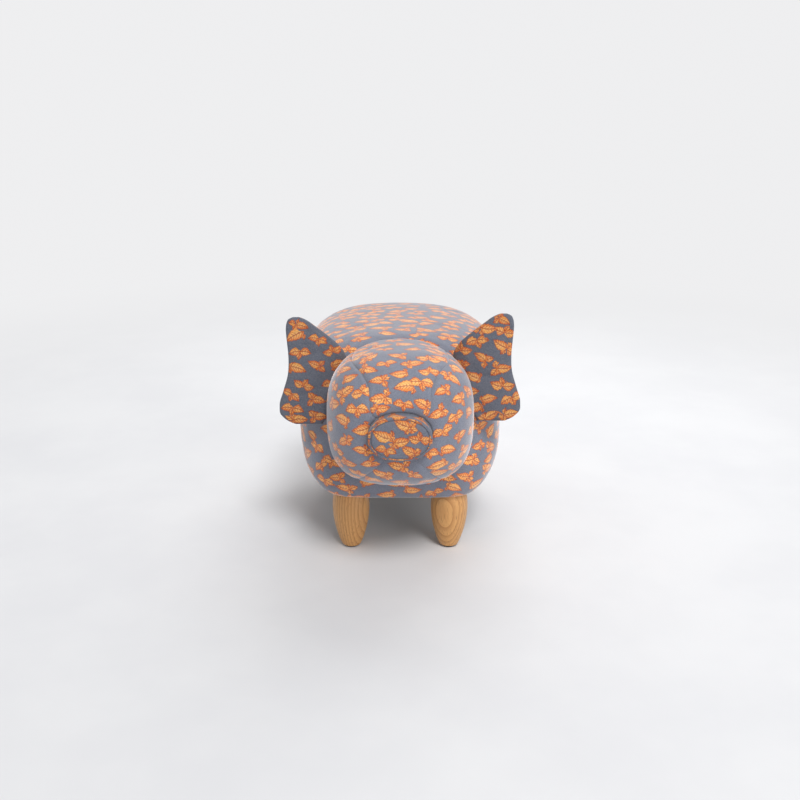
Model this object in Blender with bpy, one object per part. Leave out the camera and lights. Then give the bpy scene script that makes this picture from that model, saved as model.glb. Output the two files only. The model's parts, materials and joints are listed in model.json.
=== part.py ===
"""Upholstered animal footstool: a foam covered wooden frame with a sewn head, two soft ears,
a curled tail and four turned legs. Metres, +Z up, the head faces -Y, the floor is z = 0."""
import math

import bmesh
import bpy
from mathutils import Matrix, Vector

# Driving dimensions of the whole stool, in metres
BODY_WIDTH = 0.335
BODY_LENGTH = 0.398
SEAT_HEIGHT = 0.351
BELLY_HEIGHT = 0.100
WIDEST_HEIGHT = 0.230
SIDE_TUCK = 0.0385
END_TUCK = 0.022

# How square the padded body is, as superellipse powers
BODY_TOP_POWER = 3.6
BODY_END_POWER = 4.4
BODY_BELLY_POWER = 3.2
BODY_PLAN_POWER = 2.8
BASE_PLAN_POWER = 5.5

# Head, from the neck inside the body to the snout
HEAD_WIDTH = 0.216
HEAD_HEIGHT = 0.198
HEAD_DROP = 0.0025
HEAD_REACH = 0.112
HEAD_ROOT_DEPTH = 0.085
HEAD_WIDEST_REACH = 0.020
NECK_REACH = 0.140
NECK_POWER = 2.0
HEAD_DOME_POWER = 1.9
HEAD_POWER = 3.0
SNOUT_POWER = 2.2
SNOUT_WIDTH = 0.090
SNOUT_HEIGHT = 0.066
SNOUT_LENGTH = 0.018
SNOUT_DROP = 0.0945
SNOUT_FLARE = 0.0015
SNOUT_LIP = 0.0015
SNOUT_EDGE_RADIUS = 0.003
SNOUT_CROWN = 0.002

# Ears, each a stuffed flap that bends along its sewn root
EAR_REACH = 0.080
EAR_HEIGHT = 0.170
EAR_THICKNESS = 0.013
EAR_EDGE_THICKNESS = 0.007
EAR_DROP = 0.1225
EAR_SETBACK = 0.016
EAR_SPARE = 0.001
EAR_LEAN = math.radians(8.0)
EAR_FORWARD_BEND = math.radians(45.0)
EAR_BACKWARD_BEND = math.radians(25.0)
EAR_FOLD_DEPTH = 0.034

# Legs, glides and their fixings
LEG_SIDE_INSET = 0.049
LEG_END_INSET = 0.037
LEG_DIAMETER = 0.060
LEG_TOP_DIAMETER = 0.053
LEG_FOOT_DIAMETER = 0.032
LEG_WIDEST_SHARE = 0.72
LEG_ROUND = 0.003
GLIDE_DIAMETER = 0.024
GLIDE_HEIGHT = 0.0025
BOLT_DIAMETER = 0.008
BOLT_IN_LEG = 0.030
INSERT_DIAMETER = 0.012

# Wooden frame
BASE_BOARD = 0.015
SEAT_BOARD = 0.009
RAIL = 0.018
SIDE_PADDING = 0.0675
END_PADDING = 0.044
SEAT_PADDING = 0.064
CORNER_BLOCK = 0.036
CORNER_BLOCK_HEIGHT = 0.080
NECK_BLOCK_WIDTH = 0.070
NECK_BLOCK_REACH = 0.034
NECK_BLOCK_DROP = 0.004
CHIN_PADDING = 0.027
NECK_SCREW_SPACING = 0.050
BASE_SCREW_OFFSET = 0.040
BOARD_BEVEL = 0.0015
SCREW_DIAMETER = 0.004
SCREW_HEAD_DIAMETER = 0.008
SCREW_HEAD_HEIGHT = 0.0025
SCREW_LENGTH = 0.045

# Cloth, seams and clearances
CLOTH = 0.0015
DUST_COVER = 0.0008
HEM_WIDTH = 0.016
DUST_COVER_LAP = 0.007
NECK_SEAM_ALLOWANCE = 0.012
GAP = 0.0003
FORM_GAP = 0.0006
OVERRUN = 0.020
MERGE_SHARE = 0.01

# Tail
TAIL_DIAMETER = 0.016
TAIL_TIP_DIAMETER = 0.008
TAIL_DROP = 0.083
TAIL_STEM = 0.010
TAIL_CURL_RADIUS = 0.014
TAIL_CURL_PITCH = 0.024
TAIL_TURNS = 1.1

# Facet counts, and how many of them the sewn panels span
BODY_COLUMNS = 40
REAR_PANEL_COLUMNS = 10
REAR_PANEL_CROWN_ROWS = 4
HEAD_COLUMNS = 32
CROWN_COLUMNS = 8
CHIN_COLUMNS = 6
SNOUT_EDGE_STEPS = 3
EAR_COLUMNS = 16
LEG_LOWER_STEPS = 6
LEG_UPPER_STEPS = 3
ROUND_SEGMENTS = 24
BORE_SEGMENTS = 12
SMALL_SEGMENTS = 8
TAIL_SEGMENTS = 8
TAIL_STEPS_PER_TURN = 14

# Edges sharper than these are shaded as creases, on soft and on wooden pieces
SOFT_CREASE = math.radians(40.0)
BOARD_CREASE = math.radians(20.0)

# Stations along each form, as shares of it
BELLY_SHARES = (0.0, 0.10, 0.26, 0.48, 0.74, 1.0)
CROWN_SHARES = (0.18, 0.36, 0.53, 0.67, 0.78, 0.87, 0.94)
NECK_SHARES = (1.0, 0.66, 0.33)
HEAD_SHARES = (0.0, 0.30, 0.52, 0.68, 0.80, 0.89, 0.955, 1.0)
DISC_SHARES = (0.66, 0.33)
# Polar angle of the forehead seam from the neck to the snout, as a share of a right angle
SEAM_ANGLE_SHARES = (0.57, 0.57, 0.57, 0.57, 0.59, 0.62, 0.63, 0.62, 0.57, 0.49, 0.40)
EAR_SHARES = (0.0, 0.023, 0.08, 0.18, 0.32, 0.48, 0.62, 0.77, 0.84, 0.92, 0.96, 0.985, 1.0)
# Edges of the ear flap at those stations, as shares of its reach
EAR_OUTER_SHARES = (0.50, 0.62, 0.79, 0.86, 0.82, 0.77, 0.79, 0.85, 0.88, 0.90, 0.89, 0.86, 0.79)
EAR_INNER_SHARES = (0.0, 0.0, 0.0, 0.0, 0.0, 0.0, 0.0, 0.0, 0.14, 0.38, 0.50, 0.60, 0.68)
# Lower and upper ends of the root fold at the hinge and at the head, as shares of the ear's height
FOLD_LOW_SHARE = 0.06
FOLD_HIGH_SHARE = 0.77
FOLD_HEAD_SHARE = 0.66

# The body's underside, and the heights that follow the seat
BASE_WIDTH = BODY_WIDTH - 2 * SIDE_TUCK
BASE_LENGTH = BODY_LENGTH - 2 * END_TUCK
HEAD_TOP = SEAT_HEIGHT - HEAD_DROP
SNOUT_CENTRE_HEIGHT = HEAD_TOP - SNOUT_DROP
TAIL_HEIGHT = SEAT_HEIGHT - TAIL_DROP

# Frame heights, from the floor up
COVER_BOTTOM = BELLY_HEIGHT
BASE_BOTTOM = COVER_BOTTOM + CLOTH + GAP
BASE_TOP = BASE_BOTTOM + BASE_BOARD
SEAT_BOARD_TOP = SEAT_HEIGHT - SEAT_PADDING
SEAT_BOARD_BOTTOM = SEAT_BOARD_TOP - SEAT_BOARD
RAIL_BOTTOM = BASE_TOP + GAP
RAIL_TOP = SEAT_BOARD_BOTTOM - GAP
NECK_BLOCK_TOP = RAIL_TOP - NECK_BLOCK_DROP
NECK_BLOCK_BOTTOM = HEAD_TOP - HEAD_HEIGHT + CHIN_PADDING
DUST_COVER_TOP = COVER_BOTTOM - GAP
DUST_COVER_BOTTOM = DUST_COVER_TOP - DUST_COVER
LEG_TOP = DUST_COVER_BOTTOM - GAP
LEG_BOTTOM = GLIDE_HEIGHT + GAP
PADDING = CLOTH + GAP

# Plan places, from the middle of the padded body
LEG_X = BASE_WIDTH / 2 - LEG_SIDE_INSET
LEG_Y = BASE_LENGTH / 2 - LEG_END_INSET
FRAME_X = BODY_WIDTH / 2 - SIDE_PADDING
FRAME_Y = BODY_LENGTH / 2 - END_PADDING
NECK_BLOCK_FRONT = FRAME_Y + END_PADDING + NECK_BLOCK_REACH
BODY_FRONT = -BODY_LENGTH / 2
HEAD_ROOT = BODY_FRONT + HEAD_ROOT_DEPTH
HEAD_WIDEST = BODY_FRONT - HEAD_WIDEST_REACH
HEAD_FACE = BODY_FRONT - HEAD_REACH
SNOUT_FACE = HEAD_FACE - GAP - SNOUT_LENGTH


def clear_scene():
    for item in list(bpy.data.objects):
        bpy.data.objects.remove(item, do_unlink=True)


def make_material(name, colour, roughness, metallic=0.0):
    material = bpy.data.materials.new(name)
    material.use_nodes = True
    shader = material.node_tree.nodes["Principled BSDF"]
    shader.inputs["Base Color"].default_value = (*colour, 1.0)
    shader.inputs["Roughness"].default_value = roughness
    shader.inputs["Metallic"].default_value = metallic
    material.diffuse_color = (*colour, 1.0)
    return material


def make_materials():
    return {
        "cloth": make_material("printed_cloth", (0.17, 0.17, 0.21), 0.9),
        "ear": make_material("ear_cloth", (0.12, 0.13, 0.17), 0.9),
        "snout": make_material("snout_cloth", (0.16, 0.16, 0.20), 0.9),
        "foam": make_material("foam", (0.80, 0.76, 0.60), 0.95),
        "stuffing": make_material("stuffing", (0.85, 0.85, 0.83), 0.95),
        "leg": make_material("oiled_hardwood", (0.47, 0.25, 0.11), 0.45),
        "plywood": make_material("plywood", (0.62, 0.45, 0.27), 0.7),
        "pine": make_material("pine", (0.70, 0.52, 0.30), 0.7),
        "steel": make_material("zinc_steel", (0.60, 0.60, 0.58), 0.35, 1.0),
        "glide": make_material("glide_plastic", (0.25, 0.20, 0.15), 0.5),
        "lining": make_material("dust_lining", (0.03, 0.03, 0.03), 0.95),
    }


def finish_mesh(name, work, material, crease=SOFT_CREASE):
    """Close a bmesh into a named object with outward faces."""
    bmesh.ops.remove_doubles(work, verts=work.verts, dist=GAP * MERGE_SHARE)
    bmesh.ops.recalc_face_normals(work, faces=work.faces)
    mesh = bpy.data.meshes.new(name)
    work.to_mesh(mesh)
    work.free()
    mesh.materials.append(material)
    mesh.shade_smooth()
    mesh.set_sharp_from_angle(angle=crease)
    item = bpy.data.objects.new(name, mesh)
    bpy.context.scene.collection.objects.link(item)
    return item


def add_panel(work, corners):
    """Fill a grid cell with two triangles, split the same way on every nested surface."""
    for triangle in (corners[:3], corners[:1] + corners[2:]):
        distinct = tuple(dict.fromkeys(triangle))
        if len(distinct) == 3:
            work.faces.new(distinct)


def add_loft(work, grid):
    """Skin a closed solid over rows of points. A row that is a single point makes a tip."""
    rows = [[work.verts.new(point) for point in row] for row in grid]
    for low, high in zip(rows, rows[1:]):
        count = max(len(low), len(high))
        for column in range(count):
            after = (column + 1) % count
            if len(high) == 1:
                work.faces.new((low[column], low[after], high[0]))
            elif len(low) == 1:
                work.faces.new((low[0], high[after], high[column]))
            else:
                add_panel(work, (low[column], low[after], high[after], high[column]))
    if len(rows[0]) > 1:
        work.faces.new(list(reversed(rows[0])))
    if len(rows[-1]) > 1:
        work.faces.new(rows[-1])


def loft(name, grid, material):
    work = bmesh.new()
    add_loft(work, grid)
    return finish_mesh(name, work, material)


def box(name, low, high, material, bevel=0.0):
    work = bmesh.new()
    bmesh.ops.create_cube(work, size=1.0)
    middle = [(a + b) / 2 for a, b in zip(low, high)]
    size = [b - a for a, b in zip(low, high)]
    bmesh.ops.scale(work, vec=size, verts=work.verts)
    bmesh.ops.translate(work, vec=middle, verts=work.verts)
    if bevel > 0:
        bmesh.ops.bevel(work, geom=work.edges, offset=bevel, segments=1, affect="EDGES")
    return finish_mesh(name, work, material, BOARD_CREASE)


def turned_rows(profile, centre, segments):
    """Rows of a turned shape about a vertical axis. The profile is (radius, z) pairs."""
    rows = []
    for radius, z in profile:
        if radius == 0:
            rows.append([Vector((centre[0], centre[1], z))])
            continue
        row = []
        for step in range(segments):
            angle = 2 * math.pi * step / segments
            x = centre[0] + radius * math.cos(angle)
            y = centre[1] + radius * math.sin(angle)
            row.append(Vector((x, y, z)))
        rows.append(row)
    return rows


def turned(name, profile, centres, segments, material):
    work = bmesh.new()
    for centre in centres:
        add_loft(work, turned_rows(profile, centre, segments))
    return finish_mesh(name, work, material)


def tube(name, outer, inner, low, high, centre, material):
    """A straight sleeve with an open bore."""
    profile = ((inner, low), (outer, low), (outer, high), (inner, high))
    rows = turned_rows(profile, centre, BORE_SEGMENTS)
    work = bmesh.new()
    rings = [[work.verts.new(point) for point in row] for row in rows]
    for ring, following in zip(rings, rings[1:] + rings[:1]):
        for step in range(BORE_SEGMENTS):
            after = (step + 1) % BORE_SEGMENTS
            work.faces.new((ring[step], ring[after], following[after], following[step]))
    return finish_mesh(name, work, material)


def cut_by(target, tool):
    """Cut one object by another, then remove the cutter."""
    modifier = target.modifiers.new("cut", "BOOLEAN")
    modifier.operation = "DIFFERENCE"
    modifier.solver = "EXACT"
    modifier.object = tool
    graph = bpy.context.evaluated_depsgraph_get()
    shaped = bpy.data.meshes.new_from_object(target.evaluated_get(graph))
    target.modifiers.clear()
    target.data = shaped
    bpy.data.objects.remove(tool, do_unlink=True)
    return target


def slice_solid(item, cuts):
    """Keep the part of a solid behind each plane, given as (point, outward normal)."""
    work = bmesh.new()
    work.from_mesh(item.data)
    for point, normal in cuts:
        every = work.verts[:] + work.edges[:] + work.faces[:]
        bmesh.ops.bisect_plane(work, geom=every, plane_co=point, plane_no=normal, clear_outer=True)
        rim = [edge for edge in work.edges if edge.is_boundary]
        bmesh.ops.edgenet_fill(work, edges=rim)
    bmesh.ops.recalc_face_normals(work, faces=work.faces)
    work.to_mesh(item.data)
    work.free()
    item.data.set_sharp_from_angle(angle=SOFT_CREASE)
    return item


def polar_ring(angles, half_x, half_y, power):
    """Points of a superellipse at given polar angles."""
    ring = []
    for angle in angles:
        along = abs(math.cos(angle) / half_x) ** power
        across = abs(math.sin(angle) / half_y) ** power
        radius = (along + across) ** (-1 / power)
        ring.append((radius * math.cos(angle), radius * math.sin(angle)))
    return ring


def arc_share(share, power):
    """Quarter of a superellipse: the width left at a share of its height."""
    return (1 - share ** power) ** (1 / power)


def body_half_sizes(z, inset):
    """Half width, half length and plan power of the padded body at a height."""
    half_x = BODY_WIDTH / 2 - inset
    half_y = BODY_LENGTH / 2 - inset
    if z >= WIDEST_HEIGHT:
        share = (z - WIDEST_HEIGHT) / (SEAT_HEIGHT - inset - WIDEST_HEIGHT)
        scales = [arc_share(min(share, 1), power) for power in (BODY_TOP_POWER, BODY_END_POWER)]
        return half_x * scales[0], half_y * scales[1], BODY_PLAN_POWER
    drop = WIDEST_HEIGHT - COVER_BOTTOM
    share = (WIDEST_HEIGHT - z) / drop
    power = BODY_PLAN_POWER + (BASE_PLAN_POWER - BODY_PLAN_POWER) * share ** 2
    sizes = []
    for half, base in ((half_x, BASE_WIDTH / 2 - inset), (half_y, BASE_LENGTH / 2 - inset)):
        reach = drop / arc_share(base / half, BODY_BELLY_POWER)
        sizes.append(half * arc_share((WIDEST_HEIGHT - z) / reach, BODY_BELLY_POWER))
    return sizes[0], sizes[1], power


def body_ring(z, inset, shrink=0.0):
    half_x, half_y, power = body_half_sizes(z, inset)
    angles = [2 * math.pi * step / BODY_COLUMNS for step in range(BODY_COLUMNS)]
    ring = polar_ring(angles, half_x - shrink, half_y - shrink, power)
    return [Vector((x, y, z)) for x, y in ring]


def body_rows(inset):
    """Rows of the padded body, from its flat underside up to the middle of the seat."""
    bottom = COVER_BOTTOM + inset
    rows = [body_ring(bottom + share * (WIDEST_HEIGHT - bottom), inset) for share in BELLY_SHARES]
    rise = SEAT_HEIGHT - inset - WIDEST_HEIGHT
    for share in CROWN_SHARES:
        rows.append(body_ring(WIDEST_HEIGHT + rise * math.sin(share * math.pi / 2), inset))
    rows.append([Vector((0, 0, SEAT_HEIGHT - inset))])
    return rows


def cover_rows(inset):
    """The body rows with the hem that turns in under the base board."""
    rows = body_rows(inset)
    hem = body_ring(COVER_BOTTOM + inset, inset, HEM_WIDTH - inset)
    return [hem] + rows


def head_half_sizes(y, inset):
    """Half width, half height, power and centre height of the head at a place along it."""
    neck_centre = HEAD_TOP - HEAD_HEIGHT / 2
    if y > HEAD_WIDEST:
        narrowing = arc_share((y - HEAD_WIDEST) / NECK_REACH, NECK_POWER)
        return HEAD_WIDTH / 2 * narrowing - inset, HEAD_HEIGHT / 2 - inset, HEAD_POWER, neck_centre
    share = (HEAD_WIDEST - y) / (HEAD_WIDEST - HEAD_FACE - inset)
    blend = arc_share(min(share, 1), HEAD_DOME_POWER)
    half_x = SNOUT_WIDTH / 2 + (HEAD_WIDTH - SNOUT_WIDTH) / 2 * blend - inset
    half_z = SNOUT_HEIGHT / 2 + (HEAD_HEIGHT - SNOUT_HEIGHT) / 2 * blend - inset
    power = SNOUT_POWER + (HEAD_POWER - SNOUT_POWER) * blend
    centre = SNOUT_CENTRE_HEIGHT + (neck_centre - SNOUT_CENTRE_HEIGHT) * blend
    return half_x, half_z, power, centre


def head_angles(seam):
    """Polar angles round the head, with the forehead between its two seams."""
    forehead = [seam + (math.pi - 2 * seam) * step / CROWN_COLUMNS for step in range(CROWN_COLUMNS)]
    rest = HEAD_COLUMNS - CROWN_COLUMNS
    turn = math.pi + 2 * seam
    around = [math.pi - seam + turn * step / rest for step in range(rest)]
    return forehead + around


def head_row(y, seam_share, inset):
    half_x, half_z, power, centre = head_half_sizes(y, inset)
    angles = head_angles(seam_share * math.pi / 2)
    return [Vector((x, y, centre + z)) for x, z in polar_ring(angles, half_x, half_z, power)]


def head_rows(inset):
    """Rows of the head, from its root inside the body to the flat face behind the snout."""
    face = HEAD_FACE + inset
    places = [HEAD_WIDEST + share * (HEAD_ROOT - HEAD_WIDEST) for share in NECK_SHARES]
    places += [HEAD_WIDEST + share * (face - HEAD_WIDEST) for share in HEAD_SHARES]
    return [head_row(y, seam, inset) for y, seam in zip(places, SEAM_ANGLE_SHARES)]


def snout_ring(y, shrink):
    angles = head_angles(SEAM_ANGLE_SHARES[-1] * math.pi / 2)
    ring = polar_ring(angles, SNOUT_WIDTH / 2 - shrink, SNOUT_HEIGHT / 2 - shrink, SNOUT_POWER)
    return [Vector((x, y, SNOUT_CENTRE_HEIGHT + z)) for x, z in ring]


def snout_rows(inset):
    """Rows of the snout: its side wall, the turned lip, then the crowned disc to its middle."""
    root = HEAD_FACE - GAP
    front = SNOUT_FACE + inset
    waist = (root + front) / 2
    rows = [snout_ring(root, inset), snout_ring(waist, inset + SNOUT_FLARE)]
    for step in range(SNOUT_EDGE_STEPS):
        angle = step * math.pi / 2 / (SNOUT_EDGE_STEPS - 1)
        back = SNOUT_EDGE_RADIUS * (1 - math.sin(angle))
        shrink = SNOUT_EDGE_RADIUS * (1 - math.cos(angle))
        rows.append(snout_ring(front + back, inset + shrink))
    seam = inset + SNOUT_EDGE_RADIUS + SNOUT_LIP
    rows.append(snout_ring(front, seam))
    for share in DISC_SHARES:
        crown = SNOUT_CROWN * (1 - share ** 2)
        rows.append(snout_ring(front - crown, seam + (SNOUT_HEIGHT / 2 - seam) * (1 - share)))
    rows.append([Vector((0, front - SNOUT_CROWN, SNOUT_CENTRE_HEIGHT))])
    return rows


def ear_section(share, outer_share, inner_share, inset):
    """Closed lens across the ear flap, in its own frame: x outward, y back, z along the hinge.
    Each section lies level when the hinge leans, so it is sheared along the hinge."""
    z = inset + share * (EAR_HEIGHT - 2 * inset)
    middle = EAR_THICKNESS / 2
    rim = EAR_EDGE_THICKNESS / 2
    end = min(share, 1 - share) * EAR_HEIGHT
    swell = math.sin(min(1, end / middle) * math.pi / 2)
    root_thickness = rim + (middle - rim) * swell - inset
    inner = inner_share * EAR_REACH
    outer = outer_share * EAR_REACH - rim
    half = EAR_COLUMNS // 2
    plan = []
    for step in range(half + 1):
        angle = math.pi / 2 + math.pi * step / half
        plan.append((inner + root_thickness * math.cos(angle), root_thickness * math.sin(angle)))
    edge = rim - inset
    for step in range(half - 1):
        angle = -math.pi / 2 + math.pi * step / (half - 2)
        plan.append((outer + edge * math.cos(angle), edge * math.sin(angle)))
    return [Vector((x, y, z - x * math.tan(EAR_LEAN))) for x, y in plan]


def ear_rows(inset):
    stations = zip(EAR_SHARES, EAR_OUTER_SHARES, EAR_INNER_SHARES)
    return [ear_section(share, outer, inner, inset) for share, outer, inner in stations]


def move_toward(start, end, distance):
    return start + (end - start).normalized() * distance


def trim_patch(grid, rows, columns, sides):
    """Pull the named sides of a rectangular patch in by the seam gap, on their own facets."""
    count = len(grid[0])
    first, last = rows
    left, right = columns
    trimmed = [list(row) for row in grid]
    for row in range(first, last + 1):
        if "columns" in sides:
            line = grid[row]
            for edge, beside in ((left, left + 1), (right, right - 1)):
                pulled = move_toward(line[edge % count], line[beside % count], FORM_GAP)
                trimmed[row][edge % count] = pulled
    source = [list(row) for row in trimmed]
    for column in range(left, right + 1):
        index = column % count
        if "last_row" in sides:
            trimmed[last][index] = move_toward(source[last][index], source[last - 1][index], FORM_GAP)
        if "first_row" in sides:
            trimmed[first][index] = move_toward(source[first][index], source[first + 1][index], FORM_GAP)
    return trimmed


def cloth(name, outer, inner, cells, material):
    """A sewn panel: the chosen (row, column) cells of two nested grids, joined at their edges."""
    work = bmesh.new()
    made = {}
    chosen = set(cells)

    def corner(layer, row, column):
        line = (outer, inner)[layer][row]
        key = (layer, row, column % len(line))
        if key not in made:
            made[key] = work.verts.new(line[column % len(line)])
        return made[key]

    for row, column in chosen:
        corners = ((row, column), (row, column + 1), (row + 1, column + 1), (row + 1, column))
        add_panel(work, tuple(corner(0, *place) for place in corners))
        add_panel(work, tuple(corner(1, *place) for place in corners))
        count = max(len(outer[row]), len(outer[row + 1]))
        after, before = (column + 1) % count, (column - 1) % count
        beside = ((row - 1, column), (row, after), (row + 1, column), (row, before))
        for side, neighbour in enumerate(beside):
            start, end = corners[side], corners[(side + 1) % 4]
            if neighbour not in chosen and len(outer[max(start[0], end[0])]) > 1:
                add_panel(work, (corner(0, *start), corner(1, *start), corner(1, *end), corner(0, *end)))
    return finish_mesh(name, work, material)


def patch_cells(rows, columns, count):
    return [(row, column % count) for row in range(*rows) for column in range(*columns)]


def make_body_covers(materials):
    """The main cover over the seat, sides and chest, and the rear panel sewn into it."""
    outer, inner = cover_rows(0), cover_rows(CLOTH)
    quarter = BODY_COLUMNS // 4
    rear_rows = (1, len(BELLY_SHARES) + REAR_PANEL_CROWN_ROWS)
    rear_columns = (quarter - REAR_PANEL_COLUMNS // 2, quarter + REAR_PANEL_COLUMNS // 2)
    rear = patch_cells(rear_rows, rear_columns, BODY_COLUMNS)
    every = patch_cells((0, len(outer) - 1), (0, BODY_COLUMNS), BODY_COLUMNS)
    main = [cell for cell in every if cell not in rear]
    cover = cloth("cover_body", outer, inner, main, materials["cloth"])
    neck = loft("neck_cutter", head_rows(NECK_SEAM_ALLOWANCE), materials["cloth"])
    cut_by(cover, neck)
    sides = ("columns", "first_row", "last_row")
    rear_outer = trim_patch(outer, rear_rows, rear_columns, sides)
    rear_inner = trim_patch(inner, rear_rows, rear_columns, sides)
    panel = cloth("cover_rear", rear_outer, rear_inner, rear, materials["cloth"])
    return [cover, panel]


def body_cutter(material):
    return loft("body_cutter", body_rows(-FORM_GAP), material)


def make_head_covers(materials):
    """Forehead and chin panels between two cheek panels, trimmed to the body."""
    outer, inner = head_rows(0), head_rows(CLOTH)
    rows = (0, len(outer) - 1)
    chin_start = CROWN_COLUMNS + (HEAD_COLUMNS - CROWN_COLUMNS - CHIN_COLUMNS) // 2
    chin_end = chin_start + CHIN_COLUMNS
    spans = {
        "cover_forehead": (0, CROWN_COLUMNS),
        "cover_cheek_left": (CROWN_COLUMNS, chin_start),
        "cover_chin": (chin_start, chin_end),
        "cover_cheek_right": (chin_end, HEAD_COLUMNS),
    }
    panels = []
    for name, columns in spans.items():
        cells = patch_cells(rows, columns, HEAD_COLUMNS)
        if "cheek" in name:
            shapes = (outer, inner)
        else:
            shapes = [trim_patch(grid, rows, columns, ("columns",)) for grid in (outer, inner)]
        panel = cloth(name, *shapes, cells, materials["cloth"])
        panels.append(cut_by(panel, body_cutter(materials["cloth"])))
    return panels


def make_snout(materials):
    """The snout's side band and lip, its disc, and the foam plug inside."""
    outer, inner = snout_rows(0), snout_rows(CLOTH)
    last = len(outer) - 1
    seam = last - len(DISC_SHARES) - 1
    full = (0, HEAD_COLUMNS)
    band_cells = patch_cells((0, seam), full, HEAD_COLUMNS)
    around = (0, HEAD_COLUMNS - 1)
    band_grids = [trim_patch(grid, (0, seam), around, ("last_row",)) for grid in (outer, inner)]
    band = cloth("snout_band", *band_grids, band_cells, materials["snout"])
    disc_cells = patch_cells((seam, last), full, HEAD_COLUMNS)
    disc = cloth("snout_disc", outer, inner, disc_cells, materials["snout"])
    plug = loft("snout_foam", snout_rows(PADDING), materials["foam"])
    return [band, disc, plug]


def make_seat_foams(materials):
    """Foam slabs round the frame, all shaped by the same padded form."""
    side_top = SEAT_BOARD_TOP - GAP
    up, down = Vector((0, 0, 1)), Vector((0, 0, -1))
    east, north = Vector((1, 0, 0)), Vector((0, 1, 0))
    above_seat = [(Vector((0, 0, SEAT_BOARD_TOP + GAP)), down)]
    between = [(Vector((0, 0, RAIL_BOTTOM)), down), (Vector((0, 0, side_top)), up)]
    beside = FRAME_X + GAP
    ahead = FRAME_Y + GAP
    plans = {
        "seat_foam": above_seat,
        "side_foam_right": between + [(east * beside, -east)],
        "side_foam_left": between + [(-east * beside, east)],
    }
    for name, sign in (("front_foam", -1), ("rear_foam", 1)):
        inside = [(north * ahead * sign, -north * sign)]
        edges = [(east * (beside - GAP), east), (-east * (beside - GAP), -east)]
        plans[name] = between + inside + edges
    foams = []
    for name, cuts in plans.items():
        foam = slice_solid(loft(name, body_rows(PADDING), materials["foam"]), cuts)
        if name == "front_foam":
            cut_by(foam, box("pocket", *neck_block_box(GAP), materials["foam"]))
        foams.append(foam)
    return foams


def neck_block_box(grow):
    """Corners of the neck block, or of the pocket that holds it."""
    front = -NECK_BLOCK_FRONT - GAP - grow
    back = -FRAME_Y - GAP + grow
    half_x = NECK_BLOCK_WIDTH / 2 + grow
    return (-half_x, front, NECK_BLOCK_BOTTOM - grow), (half_x, back, NECK_BLOCK_TOP + grow)


def make_head_foam(materials):
    foam = loft("head_foam", head_rows(PADDING), materials["foam"])
    cut_by(foam, body_cutter(materials["foam"]))
    return cut_by(foam, box("pocket", *neck_block_box(GAP), materials["foam"]))


def screw_profile(head_end, point_end, grow):
    """Countersunk screw along z, given as its head face and its point."""
    way = 1 if point_end > head_end else -1
    head = SCREW_HEAD_DIAMETER / 2 + grow
    shank = SCREW_DIAMETER / 2 + grow
    neck = head_end + way * (SCREW_HEAD_HEIGHT + grow)
    shoulder = point_end - way * SCREW_DIAMETER
    start = head_end - way * OVERRUN if grow > 0 else head_end
    return ((head, start), (head, head_end), (shank, neck), (shank, shoulder), (0, point_end + way * grow))


def lay_along_y(item, height):
    """Turn a shape built along z so that it runs along y at the given height."""
    item.data.transform(Matrix.Translation((0, 0, height)) @ Matrix.Rotation(math.pi / 2, 4, "X"))
    return item


def base_screw_places():
    """One screw up through the base board into each rail. Those in the end rails stand to one
    side, clear of the screws that hold the neck block."""
    side = FRAME_X - RAIL / 2
    end = FRAME_Y - RAIL / 2
    offset = BASE_SCREW_OFFSET
    return {"left": (-side, 0), "right": (side, 0), "front": (offset, -end), "rear": (offset, end)}


def neck_screw_places():
    """Two screws through the front rail into the neck block."""
    return {"lower": (0, -NECK_SCREW_SPACING / 2), "upper": (0, NECK_SCREW_SPACING / 2)}


def turned_screws(name, kind, centres, grow, material):
    """Screws at the given centres, or with a clearance the cutter for their holes."""
    if kind == "base":
        profile = screw_profile(BASE_BOTTOM, BASE_BOTTOM + SCREW_LENGTH, grow)
        return turned(name, profile, centres, SMALL_SEGMENTS, material)
    start = FRAME_Y - RAIL
    profile = screw_profile(start, start + SCREW_LENGTH, grow)
    screws = turned(name, profile, centres, SMALL_SEGMENTS, material)
    return lay_along_y(screws, (NECK_BLOCK_BOTTOM + NECK_BLOCK_TOP) / 2)


def screw_places(kind):
    return base_screw_places() if kind == "base" else neck_screw_places()


def make_screws(materials):
    made = []
    for kind in ("base", "neck"):
        for place, centre in screw_places(kind).items():
            name = f"{kind}_screw_{place}"
            made.append(turned_screws(name, kind, [centre], 0, materials["steel"]))
    return made


def cut_screw_holes(item, kinds, material):
    for kind in kinds:
        centres = list(screw_places(kind).values())
        cut_by(item, turned_screws("hole_cutter", kind, centres, GAP, material))
    return item


def leg_places():
    return [(x, y) for y in (-LEG_Y, LEG_Y) for x in (-LEG_X, LEG_X)]


def make_base_board(materials):
    """Plywood base in the body's own outline, with bores for the threaded inserts."""
    outline = body_ring(COVER_BOTTOM + PADDING, PADDING)
    rows = [[Vector((point.x, point.y, z)) for point in outline] for z in (BASE_BOTTOM, BASE_TOP)]
    board = loft("base_board", rows, materials["plywood"])
    bore = INSERT_DIAMETER / 2 + GAP
    profile = ((bore, BASE_BOTTOM - OVERRUN), (bore, BASE_TOP + OVERRUN))
    cut_by(board, turned("bore_cutter", profile, leg_places(), BORE_SEGMENTS, materials["pine"]))
    return cut_screw_holes(board, ["base"], materials["pine"])


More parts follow.
